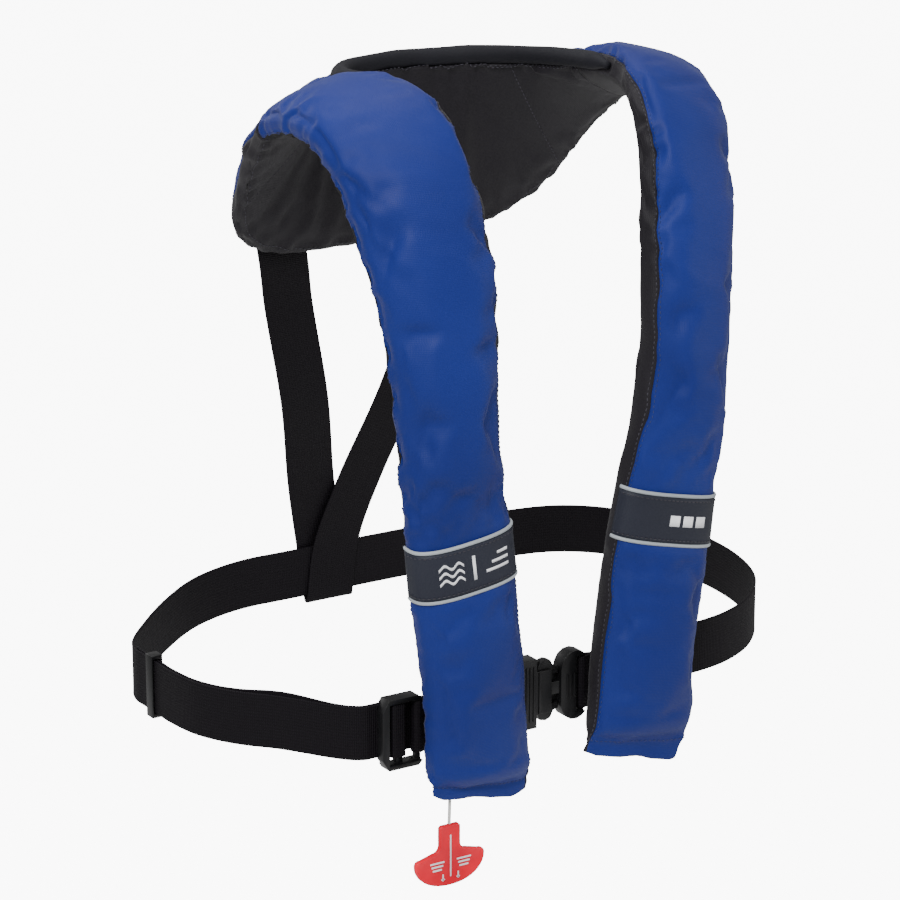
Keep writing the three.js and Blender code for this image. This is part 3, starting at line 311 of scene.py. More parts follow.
def cubic(table, position, axis_wraps):
    """Rows of a table at fractional positions, on a smooth curve through them."""
    i = np.floor(position).astype(int)
    w = (position - i).reshape(-1, *[1] * (table.ndim - 1))
    mode = "wrap" if axis_wraps else "clip"
    a, b, c, d = (np.take(table, i + k, axis=0, mode=mode) for k in (-1, 0, 1, 2))
    return b + 0.5 * w * (c - a + w * (2 * a - 5 * b + 4 * c - d + w * (3 * (b - c) + d - a)))


def billow_at(stations, degrees):
    """The simulated billow on a grid of stations by degrees (both one-dimensional)."""
    rows = cubic(BILLOW, np.asarray(stations) * SIM_ROWS_PER_STATION, False)
    columns = (np.asarray(degrees) % 360) * SIM_COLUMNS / 360
    turned = cubic(rows.transpose(1, 0, 2), columns, True)
    return turned.transpose(1, 0, 2)


FOLD = 1.5 * MM  # long soft folds that slant across the strip
RIDGE = 1.0 * MM  # sharp creases that come and go
PUCKER = 1.5 * MM  # tight gathers beside the seams
PUCKERED = (4, 11)  # stations up from the bottom where the arm edge is gathered most
HEM_GROOVE = 0.7 * MM
HEM_GATHER = 0.5 * MM
GATHER_PITCH = 11 * MM


def crease_at(length, angle, up):
    """Outward push of the cloth's small folds at one point."""
    turn = (angle + 180) % 360 - 180
    around = angle * GIRTH_PER_DEGREE
    slant = length + around * 0.9
    folds = noise.noise(Vector((slant * 26, around * 9, 3.1)))
    broken = noise.noise(Vector((length * 17, around * 12, 5.5)))
    line = noise.noise(Vector((slant * 34, around * 8, 7.7)))
    ridge = max(0.0, 1 - 5.5 * abs(line)) ** 1.5 * min(1.0, max(0.0, 0.35 + 1.8 * broken))
    tight = noise.noise(Vector((length * 130, around * 22, 9.7)))
    gathered = 1.5 if PUCKERED[0] < up < PUCKERED[1] else 1.0
    near_seam = np.exp(-(((turn - FRONT_FROM) / 34) ** 2)) * gathered
    near_neck = np.exp(-(((angle - FRONT_TO) / 20) ** 2))
    return (
        FOLD * max(folds, -0.25)
        + RIDGE * ridge
        + PUCKER * max(tight, -0.3) * (near_seam + 0.35 * near_neck)
    )


def creases(stations, degrees):
    """Small folds of the cloth that the simulation is too coarse for, in metres outward."""
    s, a = np.meshgrid(stations, degrees, indexing="ij")
    run = arc_length(s)
    up = from_bottom(s)
    places = zip(run.ravel(), a.ravel(), up.ravel())
    depth = np.array([crease_at(*place) for place in places]).reshape(s.shape)
    smooth_under_band = smooth(np.abs(up - sum(BAND_STATIONS) / 2), 0.3, 0.55)
    groove = HEM_GROOVE * np.exp(-(((up - HEM) / 0.03) ** 2))
    gather = HEM_GATHER * np.sin(run * 2 * pi / GATHER_PITCH) * np.exp(-(((up - HEM) / 0.25) ** 2))
    return (depth + gather) * smooth_under_band - groove


# ------------------------------------------------------------------ colours and finishes


def srgb(red, green, blue):
    """A colour from 0 to 255 as the eye sees it, made linear."""
    def linear(value):
        value /= 255
        return value / 12.92 if value <= 0.04045 else ((value + 0.055) / 1.055) ** 2.4
    return (linear(red), linear(green), linear(blue))


class Finish:
    """A material with its principled shader, and short ways to add to it."""

    def __init__(self, name, colour, roughness, **sockets):
        self.material = bpy.data.materials.new(name)
        self.material.use_nodes = True
        self.nodes = self.material.node_tree.nodes
        self.links = self.material.node_tree.links
        self.shader = self.nodes["Principled BSDF"]
        self.colour = (*colour, 1)
        self.shader.inputs["Base Color"].default_value = self.colour
        self.shader.inputs["Roughness"].default_value = roughness
        for socket, value in sockets.items():
            self.shader.inputs[socket.replace("_", " ")].default_value = value
        self.material.diffuse_color = self.colour

    def node(self, kind, inputs=None, **settings):
        node = self.nodes.new("ShaderNode" + kind)
        for key, value in settings.items():
            setattr(node, key, value)
        for key, value in (inputs or {}).items():
            if isinstance(value, bpy.types.NodeSocket):
                self.links.new(value, node.inputs[key])
            else:
                node.inputs[key].default_value = value
        return node

    def place(self, source="Object", scale=(1, 1, 1), turn=(0, 0, 0)):
        coordinates = self.node("TexCoord")
        mapping = self.node(
            "Mapping", {"Vector": coordinates.outputs[source], "Scale": scale, "Rotation": turn}
        )
        return mapping.outputs[0]

    def noise(self, place, scale, detail=2.0):
        return self.node("TexNoise", {"Vector": place, "Scale": scale, "Detail": detail}).outputs[0]

    def wave(self, place, pitch, direction="X", distortion=0.0):
        """Bands at a pitch in metres. One band of a wave texture at scale 1 takes 0.314 m."""
        wave = self.node(
            "TexWave",
            {"Vector": place, "Scale": 0.31416 / pitch, "Distortion": distortion},
            bands_direction=direction,
        )
        return wave.outputs["Fac"]

    def maths(self, operation, first, second):
        return self.node("Math", {0: first, 1: second}, operation=operation).outputs[0]

    def vary_colour(self, factor, other, low=0.35, high=0.65):
        ramp = self.node("MapRange", {0: factor, 1: low, 2: high}).outputs[0]
        mix = self.node("Mix", {0: ramp, 6: self.colour, 7: (*other, 1)}, data_type="RGBA")
        self.links.new(mix.outputs[2], self.shader.inputs["Base Color"])
        return self

    def vary_roughness(self, factor, low, high):
        ramp = self.node("MapRange", {0: factor, 3: low, 4: high}).outputs[0]
        self.links.new(ramp, self.shader.inputs["Roughness"])
        return self

    def bump(self, height, distance, strength, below=None):
        inputs = {"Height": height, "Distance": distance, "Strength": strength}
        if below is not None:
            inputs["Normal"] = below
        out = self.node("Bump", inputs).outputs[0]
        self.links.new(out, self.shader.inputs["Normal"])
        return out


def woven(name, colour, other, pitch, roughness, relief=0.12 * MM, **sockets):
    """Plain weave over the piece's own UV map, whose units are metres."""
    finish = Finish(name, colour, roughness, **sockets)
    place = finish.place("UV")
    warp = finish.wave(place, pitch, "X", 0.3)
    weft = finish.wave(place, pitch, "Y", 0.3)
    weave = finish.maths("MULTIPLY", warp, weft)
    patches = finish.noise(finish.place(), 9.0, 3.0)
    finish.vary_colour(patches, other, 0.3, 0.7)
    finish.vary_roughness(finish.noise(finish.place(), 40.0), roughness - 0.07, roughness + 0.07)
    soft = finish.bump(finish.noise(finish.place(), 55.0, 3.0), 0.6 * MM, 0.35)
    finish.bump(weave, relief, 0.8, soft)
    return finish.material


def ribbed(name, colour, other):
    """Belt webbing: close ribs across it and fine columns along it."""
    finish = Finish(name, colour, 0.66, Specular_IOR_Level=0.2)
    place = finish.place("UV")
    ribs = finish.wave(place, 1.5 * MM, "X", 0.2)
    columns = finish.wave(place, 2.2 * MM, "Y", 0.2)
    weave = finish.maths("ADD", ribs, finish.maths("MULTIPLY", columns, 0.6))
    finish.vary_colour(finish.maths("MULTIPLY", ribs, columns), other, 0.1, 0.9)
    finish.bump(weave, 0.22 * MM, 0.9)
    return finish.material


def moulded(name, colour, roughness, grain=0.04 * MM, **sockets):
    """Moulded plastic with a fine grain and slightly uneven gloss."""
    finish = Finish(name, colour, roughness, **sockets)
    finish.vary_roughness(finish.noise(finish.place(), 60.0), roughness - 0.08, roughness + 0.1)
    finish.bump(finish.noise(finish.place(), 900.0, 2.0), grain, 0.6)
    finish.vary_colour(finish.noise(finish.place(), 30.0), tuple(c * 1.5 + 0.004 for c in colour))
    return finish.material


def brushed(name, colour):
    finish = Finish(name, colour, 0.32, Metallic=0.95)
    place = finish.place(scale=(1, 1, 0.05))
    finish.vary_roughness(finish.noise(place, 900.0), 0.22, 0.42)
    finish.bump(finish.noise(place, 1500.0), 0.02 * MM, 0.5)
    return finish.material


MATERIALS = {}


def make_materials(colours):
    nylon, lining, webbing, tab = (
        tuple(getattr(colours, name)) for name in ("nylon", "lining", "webbing", "tab")
    )
    MATERIALS.update(
        nylon=woven(
            "blue_nylon", nylon, srgb(16, 34, 112), 1.1 * MM, 0.55,
            Sheen_Weight=0.06, Sheen_Roughness=0.4, Specular_IOR_Level=0.28,
        ),
        lining=woven(
            "body_lining", lining, srgb(31, 28, 34), 1.3 * MM, 0.6,
            Sheen_Weight=0.05, Specular_IOR_Level=0.3,
        ),
        neoprene=woven(
            "neck_neoprene", srgb(22, 22, 28), srgb(29, 29, 36), 0.9 * MM, 0.7,
            Specular_IOR_Level=0.25,
        ),
        band=woven(
            "band_cloth", srgb(33, 36, 48), srgb(41, 44, 58), 1.0 * MM, 0.5,
            Specular_IOR_Level=0.35,
        ),
        hook_tape=woven("closure_tape", srgb(24, 24, 28), srgb(34, 34, 38), 1.6 * MM, 0.9),
        bladder=woven("bladder_cloth", srgb(222, 205, 60), srgb(232, 214, 84), 1.2 * MM, 0.45),
        webbing=ribbed("ribbed_webbing", webbing, srgb(19, 14, 22)),
        piping=woven("bright_piping", srgb(168, 176, 182), srgb(190, 197, 202), 0.8 * MM, 0.35),
        cord=woven("white_cord", srgb(238, 238, 232), srgb(222, 222, 216), 0.7 * MM, 0.6),
        print=moulded("raised_print", srgb(232, 232, 236), 0.5),
        thread=moulded("stitching_thread", srgb(30, 40, 92), 0.6),
        dark_thread=moulded("dark_thread", srgb(50, 48, 57), 0.6),
        black_plastic=moulded("black_plastic", srgb(12, 12, 14), 0.36, Specular_IOR_Level=0.4),
        white_plastic=moulded("white_plastic", srgb(225, 225, 220), 0.4),
        red_plastic=moulded("red_plastic", tab, 0.34, Specular_IOR_Level=0.35),
        rubber=moulded("soft_rubber", srgb(26, 26, 26), 0.85),
        steel=brushed("cylinder_steel", srgb(205, 207, 210)),
    )


# ------------------------------------------------------------------ making pieces


def finish_piece(piece, material, body="root", replaced=()):
    """Puts a piece in the scene with its material, on its body."""
    if piece.name not in bpy.context.scene.collection.objects:
        bpy.context.scene.collection.objects.link(piece)
    piece.data.materials.clear()
    piece.data.materials.append(MATERIALS[material])
    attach(piece, body)
    if replaced:
        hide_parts(*replaced)
    return piece


def piece_from(bm, name, smooth_to=None):
    """An object of the mesh, shaded smooth, with edges sharper than the angle left crisp."""
    mesh = bpy.data.meshes.new(name)
    bm.to_mesh(mesh)
    bm.free()
    mesh.shade_smooth()
    if smooth_to is not None:
        mesh.set_sharp_from_angle(angle=radians(smooth_to))
    return bpy.data.objects.new(name, mesh)


def thicken(piece, thickness):
    """Gives a sheet its thickness, inward from its outer face."""
    solid = piece.modifiers.new("thickness", "SOLIDIFY")
    solid.thickness = thickness
    solid.offset = -1


def lengths(points):
    """Distance of each point of a path from its start."""
    steps = np.linalg.norm(np.diff(points, axis=0), axis=1)
    return np.concatenate([[0], np.cumsum(steps)])


def sheet_mesh(points, uv, outward, closed_round=False):
    """A grid of points as faces turned outward, with a UV map in metres."""
    rows, columns = points.shape[:2]
    bm = bmesh.new()
    bmesh.ops.create_grid(bm, x_segments=columns - 1, y_segments=rows - 1, size=1)
    bm.verts.ensure_lookup_table()
    order = sorted(bm.verts, key=lambda v: (round(v.co.y, 5), round(v.co.x, 5)))
    place = {vert: divmod(k, columns) for k, vert in enumerate(order)}
    layer = bm.loops.layers.uv.new("cloth")
    for face in bm.faces:
        for loop in face.loops:
            loop[layer].uv = uv[place[loop.vert]]
    for vert, where in place.items():
        vert.co = points[where]
    bm.normal_update()
    bm.faces.ensure_lookup_table()
    middle = bm.faces[len(bm.faces) // 2]
    row, column = place[middle.verts[0]]
    if middle.normal.dot(Vector(outward[row, column])) < 0:
        bmesh.ops.reverse_faces(bm, faces=bm.faces)
    if closed_round:
        bmesh.ops.remove_doubles(bm, verts=bm.verts, dist=0.02 * MM)
    return bm


def folded_cloth(s, a, grown):
    """Points of the billowed and creased cloth on a grid of stations by degrees, and outward."""
    points, normals = on_strip(s[:, None], a[None, :], grown)
    return points + billow_at(s, a) + normals * creases(s, a)[..., None], normals


def skin(name, stations, degrees, thick, grown=0.0, folds=True, pitch=3.2 * MM):
    """A sewn piece of cloth on the strip, between two stations and two angles."""
    s0, s1 = stations
    length = abs(arc_length(s1) - arc_length(s0))
    s = np.linspace(s0, s1, max(3, int(ceil(length / pitch))) + 1)
    girth = abs(degrees[1] - degrees[0]) * GIRTH_PER_DEGREE
    a = np.linspace(*degrees, max(3, int(ceil(girth / pitch))) + 1)
    grid_s, grid_a = np.meshgrid(s, a, indexing="ij")
    points, normals = folded_cloth(s, a, grown) if folds else on_strip(grid_s, grid_a, grown)
    around = np.array([lengths(row) for row in points])
    run = arc_length(grid_s)
    piece = piece_from(sheet_mesh(points, np.stack([run, around], axis=-1), normals), name)
    thicken(piece, thick)
    return piece


def stitches(name, path, outward, thread="dark_thread", pitch=3.4 * MM):
    """A row of short raised threads along a path of points."""
    run = lengths(path)
    half_width, half_height = 0.42 * MM, 0.34 * MM
    bm = bmesh.new()
    for at in np.arange(pitch / 2, run[-1], pitch):
        point = Vector([np.interp(at, run, path[:, k]) for k in range(3)])
        k = min(int(np.searchsorted(run, at)), len(path) - 1)
        along = Vector(path[k] - path[k - 1]).normalized()
        up = Vector(outward[k]).normalized()
        side = up.cross(along).normalized()
        turn = np.array([along, side, up]).T
        made = bmesh.ops.create_icosphere(bm, subdivisions=1, radius=1)["verts"]
        for vert in made:
            x, y, z = vert.co
            local = Vector((x * pitch * 0.36, y * half_width, z * half_height))
            vert.co = point + Vector(turn @ np.array(local))
    return finish_piece(piece_from(bm, name), thread)


def seam_along(stations, degrees, count=400, grown=0.1 * MM):
    """Points and outward directions of a seam that runs along the strip at one angle."""
    points, normals = folded_cloth(np.linspace(*stations, count), np.array([float(degrees)]), grown)
    return points[:, 0], normals[:, 0]


def seam_across(station, degrees, count=160, grown=0.1 * MM):
    """Points and outward directions of a seam that runs across the strip at one station."""
    points, normals = folded_cloth(np.array([float(station)]), np.linspace(*degrees, count), grown)
    return points[0], normals[0]


def tube(name, path, radius, outward, sides=12, squash=1.0):
    """A round cord or roll along a path, swept from a circle and flattened along outward."""
    tangents = np.gradient(path, axis=0)
    tangents /= np.linalg.norm(tangents, axis=1, keepdims=True)
    sideways = np.cross(tangents, outward)
    sideways /= np.linalg.norm(sideways, axis=1, keepdims=True)
    upward = np.cross(sideways, tangents)
    radii = np.broadcast_to(radius, len(path))
    angle = np.linspace(0, 2 * pi, sides + 1)
    points = (
        path[:, None]
        + sideways[:, None] * (np.cos(angle)[None, :, None] * radii[:, None, None])
        + upward[:, None] * (np.sin(angle)[None, :, None] * radii[:, None, None] * squash)
    )
    around = angle * float(np.mean(radii))
    return swept(name, points, path, around)


def swept(name, points, path, around, smooth_to=None):
    """A closed piece from the rings of points round a path, with its two ends filled."""
    uv = np.stack(np.meshgrid(lengths(path), around, indexing="ij"), axis=-1)
    bm = sheet_mesh(points, uv, points - path[:, None], closed_round=True)
    bmesh.ops.holes_fill(bm, edges=[e for e in bm.edges if e.is_boundary], sides=points.shape[1] + 1)
    bmesh.ops.recalc_face_normals(bm, faces=bm.faces)
    return piece_from(bm, name, smooth_to)


def merged_copy(node):
    """A welded bmesh of a CAD node, flat facets joined."""
    bm = bmesh.new()
    bm.from_mesh(bpy.data.objects[node].data)
    bmesh.ops.remove_doubles(bm, verts=bm.verts, dist=0.01 * MM)
    bmesh.ops.dissolve_limit(bm, angle_limit=radians(2), verts=bm.verts, edges=bm.edges)
    return bm


def bevelled(bm, edges, offset, segments):
    bmesh.ops.bevel(
        bm, geom=edges, offset=offset, segments=segments, profile=0.5, affect="EDGES",
        material=-1, clamp_overlap=True,
    )


def rounded_part(node, name, edge, material="black_plastic", body="root"):
    """A moulded part: the CAD node's shape with its sharp edges rounded."""
    bm = merged_copy(node)
    sharp = [e for e in bm.edges if e.is_manifold and e.calc_face_angle(0) > radians(28)]
    bevelled(bm, sharp, edge, 2)
    return finish_piece(piece_from(bm, name, 32), material, body, replaced=(node,))


def cad_finish(node, material):
    """Keeps a CAD node whose shape is right, and gives it its finish."""
    piece = bpy.data.objects[node]
    for place in piece.material_slots:
        place.material = MATERIALS[material]
    if not piece.material_slots:
        piece.data.materials.append(MATERIALS[material])


# ------------------------------------------------------------------ webbing

WEB_WIDTH = 38 * MM
WEB_THICK = 2 * MM
BELT_HEIGHT = -386 * MM
ADJUSTER_SAG = 10 * MM
BUCKLE_SAG = 5 * MM
# Places in plan from here on are in millimetres, as the belt's route is.
BELT_FRONT = -115.5
BELT_LAP = 2.6
BELT_MAIN_FRONT = BELT_FRONT + BELT_LAP
BELT_BACK = 172
BUCKLE_X = 8
ADJUSTER_X = -106
KEEPER_X = -226
BELT_END = BUCKLE_X + 64
BAR_HALF_DEPTH = 2.4
CLEAR = 0.3
HALF_THICK = 1
FIRST_SLOT = ADJUSTER_X - 13.25
SECOND_SLOT = ADJUSTER_X - 3.7
TURN_RADIUS = 1.8
TAIL_LIFT = 2.4 * MM  # the tail rises off the belt's height before it enters the adjuster
# The belt's middle line in plan, in millimetres, from the plug round the left side and the back.
BELT_ROUTE = [
    (BELT_END, BELT_MAIN_FRONT), (100, BELT_MAIN_FRONT), (120, BELT_MAIN_FRONT),
    (140, BELT_MAIN_FRONT), (164, -107), (196, -89), (226, -55), (243, -10), (248, 40),
    (242, 92), (224, 134), (194, 159), (150, 169), (100, BELT_BACK), (70, BELT_BACK),
    (45, BELT_BACK), (0, BELT_BACK), (-45, BELT_BACK), (-66, BELT_BACK), (-92, 167),
    (-124, 153), (-160, 125), (-196, 89), (-220, 60), (KEEPER_X, 44), (KEEPER_X, 30),
    (KEEPER_X, 10), (KEEPER_X, -4), (-221, -36), (-205, -66), (-178, -92), (-150, -107),
    (ADJUSTER_X - 30, BELT_MAIN_FRONT + 1), (ADJUSTER_X - 26, BELT_MAIN_FRONT + 1),
]


def through(points, per_span):
    """A centripetal curve through points, sampled evenly in each span."""
    p = np.asarray(points, float)
    p = np.vstack([2 * p[0] - p[1], p, 2 * p[-1] - p[-2]])
    out = []
    for i in range(1, len(p) - 2):
        p0, p1, p2, p3 = p[i - 1 : i + 3]
        spans = [max(np.linalg.norm(b - a), 1e-9) for a, b in ((p0, p1), (p1, p2), (p2, p3))]
        t = np.cumsum([0] + [span**0.5 for span in spans])
        x = np.linspace(t[1], t[2], per_span, endpoint=False)[:, None]
        a1 = (t[1] - x) / (t[1] - t[0]) * p0 + (x - t[0]) / (t[1] - t[0]) * p1
        a2 = (t[2] - x) / (t[2] - t[1]) * p1 + (x - t[1]) / (t[2] - t[1]) * p2
        a3 = (t[3] - x) / (t[3] - t[2]) * p2 + (x - t[2]) / (t[3] - t[2]) * p3
        b1 = (t[2] - x) / (t[2] - t[0]) * a1 + (x - t[0]) / (t[2] - t[0]) * a2
        b2 = (t[3] - x) / (t[3] - t[1]) * a2 + (x - t[1]) / (t[3] - t[1]) * a3
        out.append((t[2] - x) / (t[2] - t[1]) * b1 + (x - t[1]) / (t[2] - t[1]) * b2)
    return np.vstack(out + [p[-2:-1]])


def sag_at(x):
    """How much lower the webbing hangs across the chest, at x in millimetres."""
    to_buckle = smooth(x, -88, -46)
    adjuster = smooth(x, -195, -134) * (1 - to_buckle)
    buckle = to_buckle * (1 - smooth(x, 48, 150))
    return ADJUSTER_SAG * adjuster + BUCKLE_SAG * buckle


def beside(line, distance):
    """A plan line moved sideways."""
    along = np.gradient(line, axis=0)
    along /= np.linalg.norm(along, axis=1, keepdims=True)
    return line + distance * np.stack([-along[:, 1], along[:, 0]], axis=1)


SELVEDGE = [(0.5, 0.86), (0.86, 0.9), (0.95, 1), (0.985, 0.72), (1, 0.1)]  # across, thickness


def web(name, path, width_way, width=WEB_WIDTH, thick=WEB_THICK):
    """Flat webbing with thick rounded selvedges, swept along a path."""
    along = np.gradient(path, axis=0)
    along /= np.maximum(np.linalg.norm(along, axis=1, keepdims=True), 1e-9)
    face_way = np.cross(along, width_way)
    face_way /= np.linalg.norm(face_way, axis=1, keepdims=True)
    half = np.array(SELVEDGE)
    columns = np.concatenate([-half[::-1, 0], [0], half[:, 0]])
    swell = np.concatenate([half[::-1, 1], half[:1, 1], half[:, 1]])
    w = np.concatenate([columns, columns[::-1], columns[:1]]) * width / 2
    t = np.concatenate([swell, -swell[::-1], swell[:1]]) * thick / 2
    points = path[:, None] + width_way * w[None, :, None] + face_way[:, None] * t[None, :, None]
    return swept(name, points, path, w, 60)


def belt_path(plan, lift=0.0):
    """Plan points in millimetres at the belt's height, in metres."""
    sag = np.where(plan[:, 1] < 0, sag_at(plan[:, 0]), 0)
    return np.column_stack([plan * MM, BELT_HEIGHT - sag + lift])


def quarter(x, y, start, end):
    """A quarter turn of the webbing round a bar's corner, from one angle to the other."""
    angle = np.radians(np.linspace(start, end, 7))
    return np.column_stack([x + TURN_RADIUS * np.cos(angle), y + TURN_RADIUS * np.sin(angle)])


def belt_line():
    """The belt's middle line, over the adjuster's bar and back as the tail, with its lift."""
    outward = through(BELT_ROUTE, 12)
    layer_in = BELT_MAIN_FRONT + HALF_THICK
    over = BELT_FRONT - BAR_HALF_DEPTH - CLEAR - HALF_THICK
    r = TURN_RADIUS
    round_bar = np.vstack([
        quarter(FIRST_SLOT - r, layer_in - r, 90, 0),
        quarter(FIRST_SLOT + r, over + r, 180, 270),
        quarter(SECOND_SLOT - r, over + r, 270, 360),
        quarter(SECOND_SLOT - r, layer_in + BELT_LAP - r, 0, 90),
    ])
    tail_from = int(np.argmax(outward[:, 0] < KEEPER_X + 1))
    tail = beside(outward[tail_from:], BELT_LAP)[::-1]
    line = np.vstack([outward, round_bar, tail])
    lift = np.concatenate([
        np.zeros(len(outward) + len(round_bar)),
        TAIL_LIFT * np.exp(-(((tail[:, 0] + 182) / 22) ** 2)) * (tail[:, 1] < -30),
    ])
    return line, lift


def length_property(name, description, default, low, high):
    """A length whose default and limits are given in millimetres."""
    return bpy.props.FloatProperty(
        name=name, description=description, default=default * MM, min=low * MM, max=high * MM,
        unit="LENGTH", precision=4,
    )


class JacketSizes(bpy.types.PropertyGroup):
    cloth: length_property("Cloth", "Thickness of the cover cloth at its edges", 1.1, 0.4, 1.6)
    stitch: length_property("Stitch", "Length of one stitch", 3.6, 2, 6)
    piping: length_property("Piping", "Radius of the bright piping", 1.35, 0.8, 1.8)
    roll: length_property("Neck roll", "Radius of the neck roll", 6.8, 5, 7)
    edge: length_property("Moulded edge", "Rounding of moulded edges", 0.9, 0.2, 1.5)


def colour_property(name, description, *rgb):
    return bpy.props.FloatVectorProperty(
        name=name, description=description, subtype="COLOR", size=3, min=0, max=1,
        default=srgb(*rgb),
    )


class JacketColours(bpy.types.PropertyGroup):
    nylon: colour_property("Cover", "Nylon of the front and back covers", 22, 43, 128)
    lining: colour_property("Lining", "Cloth towards the wearer", 24, 21, 27)
    webbing: colour_property("Webbing", "Belt and back strap", 9, 5, 11)
    tab: colour_property("Pull tab", "Tab, lever and cap", 226, 0, 40)


class StageOperator(bpy.types.Operator):
    """Camera, floor and lights"""

    bl_idname = "jacket.stage"
    bl_label = "Stage"

    AZIMUTH, ELEVATION = radians(-32), radians(17)
    DISTANCE = 2.5
    TARGET = Vector((0, 0, -0.25))
    LENS = 143.44
    FLOOR = -1.45
    PAPER_GLOW = 9
    WORLD_LIGHT = 0.42
    LIGHTS = [  # name, place, size and power
        ("key", (-1.7, -1.6, 1.5), 1.0, 66),
        ("fill", (1.9, -1.5, 0.3), 1.6, 14),
        ("top", (0.1, 0.5, 1.9), 1.4, 24),
        ("rim", (-0.6, 2.2, 0.6), 1.2, 8),
    ]

    def camera(self, context):
        data = bpy.data.cameras.new("camera")
        data.lens = self.LENS
        data.sensor_width = 36
        data.clip_end = 100
        camera = bpy.data.objects.new("camera", data)
        context.scene.collection.objects.link(camera)
        back = Vector((
            sin(self.AZIMUTH) * cos(self.ELEVATION),
            -cos(self.AZIMUTH) * cos(self.ELEVATION),
            sin(self.ELEVATION),
        ))
        camera.location = self.TARGET + back * self.DISTANCE
        camera.rotation_euler = back.to_track_quat("Z", "Y").to_euler()
        context.scene.camera = camera

    def light(self, context, name, place, size, power):
        data = bpy.data.lights.new(name, "AREA")
        data.energy = power
        data.size = size
        light = bpy.data.objects.new(name, data)
        context.scene.collection.objects.link(light)
        light.location = place
        light.rotation_euler = (Vector(place) - self.TARGET).to_track_quat("Z", "Y").to_euler()

    def execute(self, context):
        self.camera(context)
        bm = bmesh.new()
        bmesh.ops.create_grid(bm, x_segments=2, y_segments=2, size=40)
        bmesh.ops.translate(bm, verts=bm.verts, vec=(0, 0, self.FLOOR))
        floor = piece_from(bm, "floor")
        context.scene.collection.objects.link(floor)
        paper = Finish("floor_paper", (0.9, 0.9, 0.9), 0.9, Specular_IOR_Level=0.1)
        seen = paper.node("LightPath").outputs["Is Camera Ray"]
        glow = paper.maths("MULTIPLY", seen, self.PAPER_GLOW)
        paper.shader.inputs["Emission Color"].default_value = (1, 1, 1, 1)
        paper.links.new(glow, paper.shader.inputs["Emission Strength"])
        floor.data.materials.append(paper.material)
        for light in self.LIGHTS:
            self.light(context, *light)
        world = bpy.data.worlds.new("studio")
        world.use_nodes = True
        background = world.node_tree.nodes["Background"].inputs
        background["Color"].default_value = (1, 1, 1, 1)
        background["Strength"].default_value = self.WORLD_LIGHT
        context.scene.world = world
        return {"FINISHED"}


